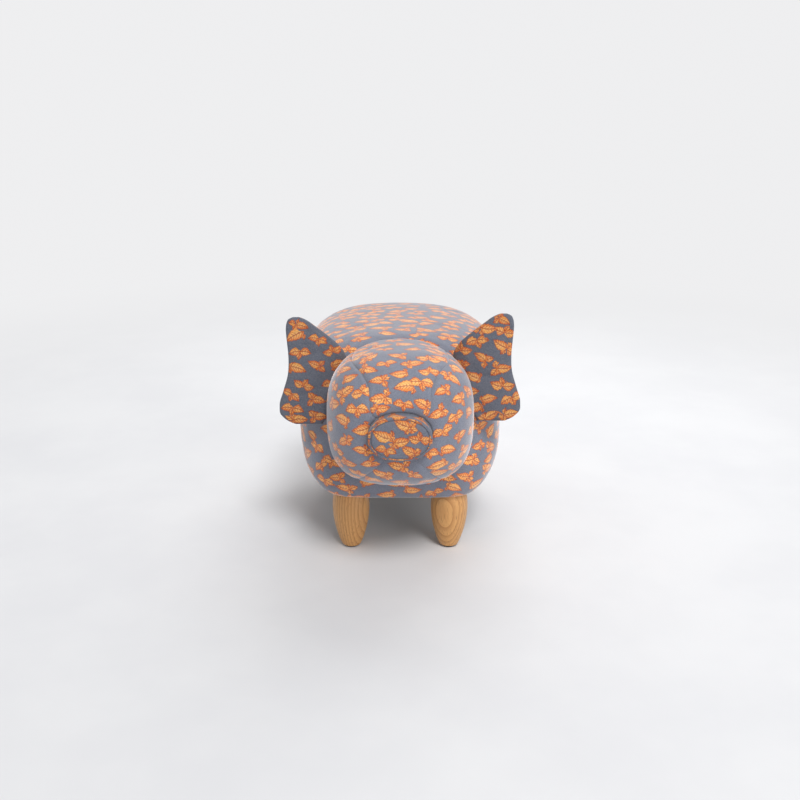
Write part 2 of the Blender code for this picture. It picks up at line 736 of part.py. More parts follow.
def make_rails(materials):
    """Four rails, the rib across the middle, the seat board and the neck block."""
    pine = materials["pine"]
    inner_x = FRAME_X - RAIL
    inner_y = FRAME_Y - RAIL
    rails = []
    for name, sign in (("side_rail_left", -1), ("side_rail_right", 1)):
        low = min(sign * FRAME_X, sign * inner_x)
        rail = box(name, (low, -FRAME_Y, RAIL_BOTTOM), (low + RAIL, FRAME_Y, RAIL_TOP), pine, BOARD_BEVEL)
        rails.append(cut_screw_holes(rail, ["base"], pine))
    for name, sign in (("front_rail", -1), ("rear_rail", 1)):
        low = min(sign * FRAME_Y, sign * inner_y)
        corner = (-inner_x + GAP, low, RAIL_BOTTOM)
        rail = box(name, corner, (inner_x - GAP, low + RAIL, RAIL_TOP), pine, BOARD_BEVEL)
        kinds = ["base", "neck"] if sign < 0 else ["base"]
        rails.append(cut_screw_holes(rail, kinds, pine))
    rib_corner = (-inner_x + GAP, -RAIL / 2, RAIL_BOTTOM)
    rails.append(box("centre_rib", rib_corner, (inner_x - GAP, RAIL / 2, RAIL_TOP), pine, BOARD_BEVEL))
    seat_low = (-FRAME_X, -FRAME_Y, SEAT_BOARD_BOTTOM)
    seat_high = (FRAME_X, FRAME_Y, SEAT_BOARD_TOP)
    rails.append(box("seat_board", seat_low, seat_high, materials["plywood"], BOARD_BEVEL))
    block = box("neck_block", *neck_block_box(0), pine, BOARD_BEVEL)
    rails.append(cut_screw_holes(block, ["neck"], pine))
    return rails


def make_corner_blocks(materials):
    """Triangular glue blocks high in the frame's corners."""
    blocks = []
    names = {(-1, -1): "front_left", (1, -1): "front_right", (-1, 1): "rear_left", (1, 1): "rear_right"}
    for (sign_x, sign_y), place in names.items():
        x = sign_x * (FRAME_X - RAIL - GAP)
        y = sign_y * (FRAME_Y - RAIL - GAP)
        plan = ((x, y), (x - sign_x * CORNER_BLOCK, y), (x, y - sign_y * CORNER_BLOCK))
        heights = (RAIL_TOP - CORNER_BLOCK_HEIGHT, RAIL_TOP)
        rows = [[Vector((px, py, z)) for px, py in plan] for z in heights]
        blocks.append(loft("corner_block_" + place, rows, materials["pine"]))
    return blocks


def make_dust_cover(materials):
    """Black lining under the base, with clear holes round the four bolts."""
    outline = body_ring(COVER_BOTTOM, 0, DUST_COVER_LAP)
    rows = [[Vector((point.x, point.y, z)) for point in outline] for z in (DUST_COVER_BOTTOM, DUST_COVER_TOP)]
    cover = loft("dust_cover", rows, materials["lining"])
    bore = BOLT_DIAMETER / 2 + GAP
    profile = ((bore, DUST_COVER_BOTTOM - OVERRUN), (bore, DUST_COVER_TOP + OVERRUN))
    return cut_by(cover, turned("bolt_cutter", profile, leg_places(), BORE_SEGMENTS, materials["lining"]))


def leg_profile():
    """Half outline of a leg from its foot up: a bullet that swells above the middle."""
    foot, widest, top = (size / 2 for size in (LEG_FOOT_DIAMETER, LEG_DIAMETER, LEG_TOP_DIAMETER))
    height = LEG_TOP - LEG_BOTTOM
    swell = LEG_BOTTOM + height * LEG_WIDEST_SHARE
    profile = [(0, LEG_BOTTOM), (foot - LEG_ROUND, LEG_BOTTOM)]
    for step in range(LEG_LOWER_STEPS + 1):
        share = step / LEG_LOWER_STEPS
        rise = LEG_ROUND * (1 - share)
        lift = LEG_BOTTOM + rise + (swell - LEG_BOTTOM - rise) * share
        profile.append((foot + (widest - foot) * math.sin(share * math.pi / 2), lift))
    for step in range(LEG_UPPER_STEPS):
        share = (step + 1) / LEG_UPPER_STEPS
        profile.append((widest - (widest - top) * share ** 2, swell + (LEG_TOP - swell) * share))
    profile.append((0, LEG_TOP))
    return profile


def make_legs(materials):
    """Turned legs with their hanger bolts, threaded inserts and glides."""
    bolt = BOLT_DIAMETER / 2
    bolt_top = BASE_TOP - GAP
    bolt_bottom = LEG_TOP - BOLT_IN_LEG
    made = []
    places = zip(("front_left", "front_right", "rear_left", "rear_right"), leg_places())
    for place, centre in places:
        leg = turned("leg_" + place, leg_profile(), [centre], ROUND_SEGMENTS, materials["leg"])
        bore = ((bolt + GAP, bolt_bottom - GAP), (bolt + GAP, LEG_TOP + OVERRUN))
        cut_by(leg, turned("bore_cutter", bore, [centre], BORE_SEGMENTS, materials["leg"]))
        rod = ((bolt, bolt_bottom), (bolt, bolt_top))
        made.append(leg)
        made.append(turned("hanger_bolt_" + place, rod, [centre], BORE_SEGMENTS, materials["steel"]))
        made.append(tube("insert_" + place, INSERT_DIAMETER / 2, bolt + GAP, BASE_BOTTOM, BASE_TOP,
                         centre, materials["steel"]))
        glide = GLIDE_DIAMETER / 2
        pad = ((glide - GLIDE_HEIGHT / 2, 0), (glide, GLIDE_HEIGHT / 2), (glide, GLIDE_HEIGHT))
        made.append(turned("glide_" + place, pad, [centre], ROUND_SEGMENTS, materials["glide"]))
    return made


def tail_path(share):
    """Centre line of the tail: a short stem, then one curl that climbs to the side."""
    turn = share * TAIL_TURNS * 2 * math.pi
    y = BODY_LENGTH / 2 + TAIL_STEM + TAIL_CURL_RADIUS * (1 - math.cos(turn))
    z = TAIL_HEIGHT + TAIL_CURL_RADIUS * math.sin(turn)
    return Vector((TAIL_CURL_PITCH * share, y, z))


def make_tail(materials):
    """A stuffed curled tail, swept along its path and seated on the rear panel."""
    steps = round(TAIL_STEPS_PER_TURN * TAIL_TURNS)
    points = [tail_path(step / steps) for step in range(steps + 1)]
    inside = tail_path(0) - Vector((0, TAIL_STEM + OVERRUN, 0)) - Vector((0, 0, TAIL_DIAMETER / 2))
    points = [inside, inside + Vector((0, OVERRUN, 0))] + points
    rows = []
    side = Vector((1, 0, 0))
    for index, point in enumerate(points):
        before = points[max(index - 1, 0)]
        after = points[min(index + 1, len(points) - 1)]
        along = (after - before).normalized()
        side = (side - along * side.dot(along)).normalized()
        across = along.cross(side)
        share = index / (len(points) - 1)
        radius = (TAIL_DIAMETER + (TAIL_TIP_DIAMETER - TAIL_DIAMETER) * share) / 2
        angles = [2 * math.pi * step / TAIL_SEGMENTS for step in range(TAIL_SEGMENTS)]
        rows.append([point + (side * math.cos(a) + across * math.sin(a)) * radius for a in angles])
    tail = loft("tail", rows, materials["cloth"])
    return cut_by(tail, body_cutter(materials["cloth"]))


def head_half_width(y, z):
    """How far the head reaches to the side at a place along it and a height."""
    half_x, half_z, power, centre = head_half_sizes(y, 0)
    return half_x * arc_share(min(abs(z - centre) / half_z, 1), power)


def ear_hinge_matrix(sign):
    """Frame of an ear hinge: x outward, y to the back, z up, just clear of the head."""
    y = BODY_FRONT + EAR_SETBACK
    z = HEAD_TOP - EAR_DROP
    reach = 0
    for share in EAR_SHARES:
        along = share * FOLD_HIGH_SHARE * EAR_HEIGHT
        width = head_half_width(y, z + along * math.cos(EAR_LEAN))
        reach = max(reach, width + along * math.sin(EAR_LEAN))
    x = reach + EAR_THICKNESS / 2 + EAR_SPARE
    place = Matrix.Translation((sign * x, y, z))
    lean = Matrix.Rotation(-sign * EAR_LEAN, 4, "Y")
    return place @ lean


def mirror_grid(grid, sign):
    return [[Vector((point.x * sign, point.y, point.z)) for point in row] for row in grid]


def make_ear(side, sign, materials):
    """One ear: front cloth, back cloth and stuffing about the hinge, and its fixed root fold."""
    half = EAR_COLUMNS // 2
    outer, inner = (mirror_grid(ear_rows(inset), sign) for inset in (0, CLOTH))
    rows = (0, len(outer) - 1)
    front_columns = (half // 2, half // 2 + half)
    back_columns = (front_columns[1], front_columns[0] + EAR_COLUMNS)
    back_grids = [trim_patch(grid, rows, back_columns, ("columns",)) for grid in (outer, inner)]
    front_cells = patch_cells(rows, front_columns, EAR_COLUMNS)
    back_cells = patch_cells(rows, back_columns, EAR_COLUMNS)
    front = cloth("ear_front_" + side, outer, inner, front_cells, materials["ear"])
    back = cloth("ear_back_" + side, *back_grids, back_cells, materials["ear"])
    filling = loft("ear_filling_" + side, mirror_grid(ear_rows(PADDING), sign), materials["stuffing"])
    hinge = bpy.data.objects.new("ear_hinge_" + side, None)
    hinge.matrix_world = ear_hinge_matrix(sign)
    bpy.context.scene.collection.objects.link(hinge)
    for item in (front, back, filling):
        item.parent = hinge
    return hinge, make_ear_root(side, sign, materials)


def make_ear_root(side, sign, materials):
    """Fixed fold of ear cloth between the neck seam and the line where the flap bends.
    It is thinner than the flap's round root by as much as the flap's faces need to swing clear."""
    bead = EAR_THICKNESS / 2
    front = -bead * math.cos(EAR_FORWARD_BEND)
    back = bead * math.cos(EAR_BACKWARD_BEND)
    low, high, head = (share * EAR_HEIGHT for share in (FOLD_LOW_SHARE, FOLD_HIGH_SHARE, FOLD_HEAD_SHARE))
    inner = -sign * EAR_FOLD_DEPTH
    outline = ((0, low), (0, high), (inner, head), (inner, low))
    rows = [[Vector((x, y, z)) for x, z in outline] for y in (front, back)]
    fold = loft("ear_root_" + side, rows, materials["ear"])
    cradle = turned("cradle_cutter", ((bead + GAP, -OVERRUN), (bead + GAP, EAR_HEIGHT)), [(0, 0)],
                    ROUND_SEGMENTS, materials["ear"])
    cut_by(fold, cradle)
    fold.data.transform(ear_hinge_matrix(sign))
    cut_by(fold, loft("head_cutter", head_rows(-FORM_GAP), materials["ear"]))
    cut_by(fold, body_cutter(materials["ear"]))
    return fold


def centring_shift(items):
    """How far to slide the stool along y so that its length is centred on the origin."""
    reaches = [vertex.co.y for item in items if item.type == "MESH" for vertex in item.data.vertices]
    return -(min(reaches) + max(reaches)) / 2


def build():
    clear_scene()
    materials = make_materials()
    stool = bpy.data.objects.new("stool", None)
    bpy.context.scene.collection.objects.link(stool)
    items = make_body_covers(materials) + make_head_covers(materials) + make_snout(materials)
    items += make_seat_foams(materials) + [make_head_foam(materials)]
    items += [make_base_board(materials)] + make_rails(materials) + make_corner_blocks(materials)
    items += make_screws(materials) + [make_dust_cover(materials)] + make_legs(materials)
    items.append(make_tail(materials))
    for side, sign in (("left", -1), ("right", 1)):
        items += make_ear(side, sign, materials)
    for item in items:
        item.parent = stool
    stool.location = (0, centring_shift(items), 0)


build()
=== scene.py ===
"""Looks of the animal footstool: sewn and printed covers, soft ears, a curled tail and turned legs,
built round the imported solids, in a pale studio. Metres, +Z up, the head faces -Y."""
import json
import math

import bpy
import numpy as np
from mathutils import Matrix, Vector, kdtree, noise


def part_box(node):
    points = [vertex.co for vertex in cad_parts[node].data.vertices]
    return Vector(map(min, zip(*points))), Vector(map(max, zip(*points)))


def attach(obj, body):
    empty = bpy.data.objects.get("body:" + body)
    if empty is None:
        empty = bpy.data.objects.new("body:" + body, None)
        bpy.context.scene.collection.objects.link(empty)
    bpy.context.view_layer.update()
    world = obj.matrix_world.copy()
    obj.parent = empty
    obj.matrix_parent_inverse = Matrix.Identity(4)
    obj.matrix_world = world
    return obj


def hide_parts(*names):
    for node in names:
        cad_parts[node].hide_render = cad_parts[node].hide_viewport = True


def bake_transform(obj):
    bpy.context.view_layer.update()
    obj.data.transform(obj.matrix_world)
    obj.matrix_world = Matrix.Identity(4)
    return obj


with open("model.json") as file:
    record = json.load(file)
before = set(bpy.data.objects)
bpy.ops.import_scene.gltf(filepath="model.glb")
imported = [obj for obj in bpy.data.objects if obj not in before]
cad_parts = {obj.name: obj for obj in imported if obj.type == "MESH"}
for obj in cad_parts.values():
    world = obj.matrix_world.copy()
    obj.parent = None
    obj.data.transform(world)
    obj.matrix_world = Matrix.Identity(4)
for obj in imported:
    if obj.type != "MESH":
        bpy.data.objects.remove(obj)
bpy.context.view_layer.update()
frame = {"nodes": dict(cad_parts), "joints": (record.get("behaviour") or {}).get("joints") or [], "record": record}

# Sizes of the padded forms, the same as the solids'
BODY_WIDTH = 0.335
BODY_LENGTH = 0.398
SEAT_HEIGHT = 0.351
BELLY_HEIGHT = 0.100
WIDEST_HEIGHT = 0.230
SIDE_TUCK = 0.0385
END_TUCK = 0.022
BODY_TOP_POWER = 3.6
BODY_END_POWER = 4.4
BODY_BELLY_POWER = 3.2
BODY_PLAN_POWER = 2.8
BASE_PLAN_POWER = 5.5
HEM_WIDTH = 0.016
HEM_FOLD = 0.003
HEM_FLAT = 0.004
HEM_HELD = 0.006
GIRTH_SHARE = 0.86
HEAD_WIDTH = 0.216
HEAD_HEIGHT = 0.198
HEAD_TOP = SEAT_HEIGHT - 0.0025
HEAD_REACH = 0.112
HEAD_WIDEST_REACH = 0.020
NECK_REACH = 0.140
HEAD_DOME_POWER = 1.9
HEAD_POWER = 3.0
SNOUT_POWER = 2.2
SNOUT_WIDTH = 0.090
SNOUT_HEIGHT = 0.066
SNOUT_LENGTH = 0.0183
SNOUT_CENTRE_HEIGHT = HEAD_TOP - 0.0945
SNOUT_SEAM = 0.0042
EAR_REACH = 0.080
EAR_HEIGHT = 0.170
EAR_LEAN = math.radians(8.0)

# Places along the stool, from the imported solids
REAR_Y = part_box("cover_rear")[1].y
BODY_MIDDLE_Y = REAR_Y - BODY_LENGTH / 2
BODY_FRONT = BODY_MIDDLE_Y - BODY_LENGTH / 2
HEAD_WIDEST = BODY_FRONT - HEAD_WIDEST_REACH
HEAD_FACE = BODY_FRONT - HEAD_REACH
REAR_PANEL_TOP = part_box("cover_rear")[1].z

# Cloth and seams
CLOTH = 0.0012
GRID = 0.0034
FULLNESS = 0.0006
SEAM_DEPTH = 0.0014
SEAM_WIDTH = 0.0030
NECK_DEPTH = 0.0013
NECK_WIDTH = 0.0040
NECK_SWELL = 0.0034
NECK_SWELL_BACK = 0.068
NECK_TUCK = 0.25
NECK_TUCK_LIMIT = 0.020
PUFF_LIMIT = 0.0045
SINK_LIMIT = 0.0003
HEAD_ROOT = 0.100
HIDDEN_BODY_DEPTH = 0.016
HIDDEN_HEAD_DEPTH = 0.012
CLOTH_SETTINGS = {"vertex_group_mass": "held", "quality": 4, "mass": 0.25, "tension_stiffness": 12,
                  "compression_stiffness": 12, "bending_stiffness": 0.4, "use_pressure": True}
SETTLE_FRAMES = 20
SETTLE_NEIGHBOURS = 6
SEED_STEP = 7.3
TINY = 1e-12
SAME_PLACE = 1e-6

# Gathers beside a seam, beside the neck and above the hem: how high and how large they are, how far off they
# lie and how far they spread
SEAM_GATHERS = (0.0005, 0.009, 0.008, 0.005)
NECK_GATHERS = (0.0006, 0.013, 0.010, 0.008)
HEM_GATHERS = (0.0008, 0.013, 0.012, 0.012)

# Print: unit of a motif's drawing, its half length and half width, and how far apart motifs are strewn
MOTIF_UNIT = 0.0184
MOTIF_LENGTH = 0.0185
MOTIF_WIDTH = 0.0120
MOTIF_SPACING = 0.0266
BODY_MOTIF_SPACING = 0.0250
MOTIF_TURN = math.radians(27)

# Room between motifs along and across the cloth's level, as shares of their spacing, how they are spread
# evenly, and a reach that no motif has
MOTIF_ROOM = (1.22, 0.80)
EVENING_SAMPLE = 9000
EVENING_ROUNDS = 5
OUT_OF_REACH = 1e6

# Drawing of a leaf, in units of the motif
LEAF_BLUNTNESS = 0.72
VEIN_SLANT = 0.9
VEINS_PER_UNIT = 4.6
TOOTH_DEPTH = 0.07

# Colours of the cloth and its print, linear. Where there are two, a motif's own tone lies between them
SLATE = (0.167, 0.186, 0.242)
PALE_ORANGES = ((0.93, 0.36, 0.065), (1.0, 0.46, 0.105))
DEEP_ORANGES = ((0.74, 0.17, 0.020), (0.86, 0.25, 0.035))
GLOW_ORANGE = (1.0, 0.59, 0.19)
VEIN_RED = (0.36, 0.045, 0.015)
OUTLINE_RED = (0.26, 0.030, 0.015)
FIBRE_GREY = (0.62, 0.60, 0.62)

# Camera fitted to the photograph's frame of 800 pixels
FOCAL_PIXELS = 941
FRAME_PIXELS = 800
SENSOR = 36
CAMERA_PITCH = math.radians(18)
CAMERA_PLACE = (-0.0002, -1.5036, 0.708)

# Studio
FLOOR_HALF = 9.0
FADE_START, FADE_END = 0.55, 2.4
FLOOR_COLOUR = (0.715, 0.72, 0.735)
FLOOR_SHADE = (0.675, 0.68, 0.70)
BACKDROP_COLOUR = (0.86, 0.86, 0.87)
WORLD_LIGHT = 0.46


def smooth_steps(total, size):
    """How many steps of about the given size fit in a length."""
    return max(2, int(round(total / size)))


def arc_share(share, power):
    """Quarter of a superellipse: the width left at a share of its height."""
    return np.clip(1 - np.clip(share, 0, 1) ** power, 0, None) ** (1 / power)


def superellipse(angles, half_x, half_y, power):
    """Both coordinates of a superellipse's points at the given polar angles."""
    along = np.abs(np.cos(angles) / half_x) ** power
    across = np.abs(np.sin(angles) / half_y) ** power
    radius = (along + across) ** (-1 / power)
    return radius * np.cos(angles), radius * np.sin(angles)


def even_steps(values, widths):
    """The values at points that lie evenly along a curve, which is given by its widths at many values."""
    lengths = np.hypot(np.diff(widths), np.diff(values))
    walked = np.concatenate([[0], np.cumsum(lengths)])
    count = smooth_steps(walked[-1], GRID)
    return np.interp(np.linspace(0, walked[-1], count + 1), walked, values)


def body_half_sizes(z):
    """Half width, half length and plan power of the padded body at each height."""
    half_x, half_y = BODY_WIDTH / 2, BODY_LENGTH / 2
    rise = (z - WIDEST_HEIGHT) / (SEAT_HEIGHT - WIDEST_HEIGHT)
    top_x = half_x * arc_share(rise, BODY_TOP_POWER)
    top_y = half_y * arc_share(rise, BODY_END_POWER)
    drop = WIDEST_HEIGHT - BELLY_HEIGHT
    share = (WIDEST_HEIGHT - z) / drop
    low = []
    for half, tuck in ((half_x, SIDE_TUCK), (half_y, END_TUCK)):
        reach = drop / float(arc_share((half - tuck) / half, BODY_BELLY_POWER))
        low.append(half * arc_share((WIDEST_HEIGHT - z) / reach, BODY_BELLY_POWER))
    power = BODY_PLAN_POWER + (BASE_PLAN_POWER - BODY_PLAN_POWER) * np.clip(share, 0, 1) ** 2
    upper = z >= WIDEST_HEIGHT
    return np.where(upper, top_x, low[0]), np.where(upper, top_y, low[1]), power


def neck_swell(points):
    """How far the seat's front edge is raised behind the head, where the cover is drawn down to the seam."""
    front_reach, back_reach, half_width, start, rise = 0.028, 0.045, 0.10, 0.300, 0.030
    behind = points[..., 1] - (BODY_FRONT + NECK_SWELL_BACK)
    behind = behind / np.where(behind < 0, front_reach, back_reach)
    upper = np.clip((points[..., 2] - start) / rise, 0, 1)
    return NECK_SWELL * upper * np.exp(-behind ** 2 - (points[..., 0] / half_width) ** 4)


def body_level(points):
    """Below zero inside the padded body, above zero outside, in body widths."""
    z = np.clip(points[..., 2] - neck_swell(points), BELLY_HEIGHT, SEAT_HEIGHT - 1e-6)
    half_x, half_y, power = body_half_sizes(z)
    along = (np.abs(points[..., 0]) / np.maximum(half_x, 1e-5)) ** power
    across = (np.abs(points[..., 1] - BODY_MIDDLE_Y) / np.maximum(half_y, 1e-5)) ** power
    return (along + across) ** (1 / power) - 1


def head_half_sizes(y):
    """Half width, half height, power and centre height of the head at each place along it."""
    neck_centre = HEAD_TOP - HEAD_HEIGHT / 2
    share = (HEAD_WIDEST - y) / (HEAD_WIDEST - HEAD_FACE)
    blend = np.where(y > HEAD_WIDEST, 1, arc_share(share, HEAD_DOME_POWER))
    narrowing = arc_share((y - HEAD_WIDEST) / NECK_REACH, 2)
    half_x = SNOUT_WIDTH / 2 + (HEAD_WIDTH - SNOUT_WIDTH) / 2 * blend
    half_x = np.where(y > HEAD_WIDEST, np.maximum(HEAD_WIDTH / 2 * narrowing, 1e-4), half_x)
    half_z = SNOUT_HEIGHT / 2 + (HEAD_HEIGHT - SNOUT_HEIGHT) / 2 * blend
    power = SNOUT_POWER + (HEAD_POWER - SNOUT_POWER) * blend
    centre = SNOUT_CENTRE_HEIGHT + (neck_centre - SNOUT_CENTRE_HEIGHT) * blend
    return half_x, half_z, power, centre


def head_level(points):
    """Below zero inside the head, above zero outside, in head widths."""
    half_x, half_z, power, centre = head_half_sizes(np.clip(points[..., 1], HEAD_FACE, None))
    along = (np.abs(points[..., 0]) / half_x) ** power
    across = (np.abs(points[..., 2] - centre) / half_z) ** power
    level = (along + across) ** (1 / power) - 1
    before = (HEAD_FACE - points[..., 1]) / (HEAD_WIDTH / 2)
    behind = (points[..., 1] - HEAD_WIDEST - NECK_REACH) / (HEAD_WIDTH / 2)
    return np.maximum(level, np.maximum(before, behind))


def crossing(level, points):
    """The points where a grid passes through a form, between neighbours on either side of it."""
    values = level(points)
    found = []
    for axis in (0, 1):
        next_points, after = np.roll(points, -1, axis=axis), np.roll(values, -1, axis=axis)
        changed = (values < 0) != (after < 0)
        if axis == 0:
            changed[-1] = False
        share = (values / np.where(changed, values - after, 1))[..., None]
        found.append((points + (next_points - points) * share)[changed])
    return np.concatenate(found)


def grid_normals(points):
    """Unit normals of a grid of points that runs round a form, its columns to the left of its rows."""
    around = np.roll(points, -1, axis=1) - np.roll(points, 1, axis=1)
    along = np.gradient(points, axis=0)
    normal = np.cross(around, along)
    length = np.linalg.norm(normal, axis=2, keepdims=True)
    return normal / np.maximum(length, TINY)


def unevenness(points, size, seed):
    """Smooth noise between about -1 and 1 at each point, with lumps of the given size."""
    flat = points.reshape(-1, 3) / size + seed * SEED_STEP
    values = np.array([noise.noise(Vector(place)) for place in flat])
    return values.reshape(points.shape[:-1])


def lumps(points, seed, *layers):
    """Unevenness in layers, each given by its height and by the size of its lumps."""
    return sum(height * unevenness(points, size, seed + step) for step, (height, size) in enumerate(layers))


def hump(away, middle, width):
    """A smooth hump with a height of one at its middle."""
    return np.exp(-((away - middle) / width) ** 2)


def point_tree(points):
    """A tree that finds the nearest of the given points."""
    tree = kdtree.KDTree(len(points))
    for index, place in enumerate(points):
        tree.insert(Vector(place), index)
    tree.balance()
    return tree


def border_distance(points, border):
    """How far each point is from the nearest of the border's points."""
    tree = point_tree(border)
    found = np.array([tree.find(Vector(place))[2] for place in points.reshape(-1, 3)])
    return found.reshape(points.shape[:-1])


def seam_shift(points, border, seed, depth, width):
    """How far the cloth is drawn in towards a sewn edge, with small gathers along it."""
    height, size, *spread = SEAM_GATHERS
    away = border_distance(points, border)
    gather = unevenness(points, size, seed)
    dip = depth * hump(away, 0, width) * (1 + 0.15 * gather)
    return height * (gather + 0.4) * hump(away, *spread) - dip


def sewn_form(points, normals, other, neck_seed, seams, softness, held=(), **settling):
    """Settle a form over its filling, and draw it in along its seams and along the neck, where it sinks into
    the other form. A seam is its points, its seed, its depth and its width. The held points stay in place.
    Also says how deep in the other form each point lies."""
    height, size, *spread = NECK_GATHERS
    neck = crossing(other, points)
    away = border_distance(points, neck)
    inside = other(points) < 0
    outside = np.where(inside, 0, away)
    depth = np.where(inside, away, 0)
    pull = height * (unevenness(points, size, neck_seed) + 0.5) * hump(outside, *spread)
    dip = NECK_DEPTH * hump(outside, 0, NECK_WIDTH) + NECK_TUCK * np.minimum(depth, NECK_TUCK_LIMIT)
    shift = pull - dip + softness + sum(seam_shift(points, *seam) for seam in seams)
    fixed = np.concatenate([*(seam[0] for seam in seams), neck, points[depth > 0], *held])
    drift = settle(points, normals, fixed, **settling)
    return points + drift + normals * shift[..., None], depth


def closed_faces(rows, columns):
    """Faces of a grid that runs round a form, with both of its ends closed."""
    faces = []
    for row in range(0, (rows - 1) * columns, columns):
        for column in range(columns):
            after = (column + 1) % columns
            faces.append([row + column, row + after, row + columns + after, row + columns + column])
    ends = [list(range(columns))[::-1], list(range((rows - 1) * columns, rows * columns))]
    return faces + ends


def fetch(elements, name, width=1, kind=float):
    """One property of all of a mesh's elements."""
    values = np.zeros(len(elements) * width, dtype=kind)
    elements.foreach_get(name, values)
    return values.reshape(-1, width) if width > 1 else values


def settle(points, normals, held, voxel, slack, pressure):
    """Let a grid that runs round a padded form settle as cloth under the push of its filling, held at the
    given points. Returns how far each point is carried, at most PUFF_LIMIT, and hardly into the padding."""
    item = build_mesh("settling_cloth", points.reshape(-1, 3).tolist(), closed_faces(*points.shape[:2]))
    remesh = item.modifiers.new("remesh", "REMESH")
    remesh.mode = "VOXEL"
    remesh.voxel_size = voxel
    graph = bpy.context.evaluated_depsgraph_get()
    mesh = bpy.data.meshes.new_from_object(item.evaluated_get(graph))
    item.modifiers.clear()
    item.data = mesh
    rest = fetch(mesh.vertices, "co", 3)
    group = item.vertex_groups.new(name="held")
    for index, away in enumerate(border_distance(rest, held)):
        if away < 0.9 * voxel:
            group.add([index], 1.0, "REPLACE")
    cloth = item.modifiers.new("cloth", "CLOTH")
    for name, value in CLOTH_SETTINGS.items():
        setattr(cloth.settings, name, value)
    cloth.settings.shrink_min = -slack
    cloth.settings.uniform_pressure_force = pressure
    cloth.settings.effector_weights.gravity = 0
    cloth.collision_settings.use_collision = False
    scene = bpy.context.scene
    for frame_number in range(1, SETTLE_FRAMES + 1):
        scene.frame_set(frame_number)
    after = item.evaluated_get(bpy.context.evaluated_depsgraph_get()).to_mesh()
    drift = fetch(after.vertices, "co", 3) - rest
    item.modifiers.clear()
    scene.frame_set(1)
    bpy.data.objects.remove(item)
    length = np.linalg.norm(drift, axis=1, keepdims=True)
    drift *= PUFF_LIMIT * np.tanh(length / PUFF_LIMIT) / np.maximum(length, 1e-9)
    tree = point_tree(rest)
    carried = np.zeros((points.size // 3, 3))
    for row, place in enumerate(points.reshape(-1, 3)):
        found = tree.find_n(Vector(place), SETTLE_NEIGHBOURS)
        weights = np.array([math.exp(-(away / (0.8 * voxel)) ** 2) + 1e-9 for _, _, away in found])
        carried[row] = weights @ drift[[index for _, index, _ in found]] / weights.sum()
    carried = carried.reshape(points.shape)
    outward = np.sum(carried * normals, axis=-1, keepdims=True)
    return carried + normals * (np.maximum(outward, -SINK_LIMIT) - outward)


def add_object(name, data):
    item = bpy.data.objects.new(name, data)
    bpy.context.scene.collection.objects.link(item)
    return item


def build_mesh(name, vertices, faces):
    mesh = bpy.data.meshes.new(name)
    mesh.from_pydata(vertices, [], faces)
    mesh.validate()
    mesh.shade_smooth()
    return add_object(name, mesh)


def shell(name, points, cells):
    """A closed skin of cloth over the chosen (row, column) cells of a grid that runs round a form.
    Its outer faces come first."""
    rows, columns = points.shape[:2]
    inner = points - grid_normals(points) * CLOTH
    numbers, vertices = {}, []

    def corner(layer, row, column):
        column %= columns
        spread = np.ptp(points[row], axis=0).max() if row in (0, rows - 1) else 1
        key = (layer, row, 0 if spread < SAME_PLACE else column)
        if key not in numbers:
            numbers[key] = len(vertices)
            source = inner if layer else points
            vertices.append(source[row, column].tolist())
        return numbers[key]

    chosen = set(cells)
    layers = ([], [], [])
    for row, column in sorted(chosen):
        square = ((row, column), (row, column + 1), (row + 1, column + 1), (row + 1, column))
        for layer in (0, 1):
            ring = list(dict.fromkeys(corner(layer, *place) for place in square))
            if len(ring) > 2:
                layers[layer].append(ring if layer == 0 else ring[::-1])
        after, before = (column + 1) % columns, (column - 1) % columns
        beside = ((row - 1, column), (row, after), (row + 1, column), (row, before))
        for side, neighbour in enumerate(beside):
            if neighbour not in chosen:
                start, end = square[side], square[(side + 1) % 4]
                ring = [corner(0, *end), corner(0, *start), corner(1, *start), corner(1, *end)]
                ring = list(dict.fromkeys(ring))
                if len(ring) == 4:
                    layers[2].append(ring)
    item = build_mesh(name, vertices, layers[0] + layers[1] + layers[2])
    item["outer_faces"] = len(layers[0])
    return item


def cloth_axes(normals):
    """Level direction of the cloth at each normal, and the direction square to it."""
    sideways = np.abs(normals[:, :1]) > 0.8
    level = np.where(sideways, (0.0, 1.0, 0.0), (1.0, 0.0, 0.0))
    first = level - normals * np.sum(level * normals, axis=1, keepdims=True)
    first /= np.maximum(np.linalg.norm(first, axis=1, keepdims=True), 1e-9)
    return first, np.cross(normals, first)


def turned_axes(normals, rng):
    """Axes of each motif: along the cloth's level either way, turned from it by up to MOTIF_TURN."""
    first, second = cloth_axes(normals)
    angle = rng.uniform(-MOTIF_TURN, MOTIF_TURN, len(normals)) + math.pi * rng.integers(0, 2, len(normals))
    cosine, sine = np.cos(angle)[:, None], np.sin(angle)[:, None]
    flip = np.where(rng.random(len(normals)) < 0.5, -1.0, 1.0)[:, None]
    return first * cosine + second * sine, (second * cosine - first * sine) * flip


def offsets(places, axes, origins):
    """How far each place lies from each origin along that origin's axis."""
    return places @ axes.T - np.sum(origins * axes, axis=1)


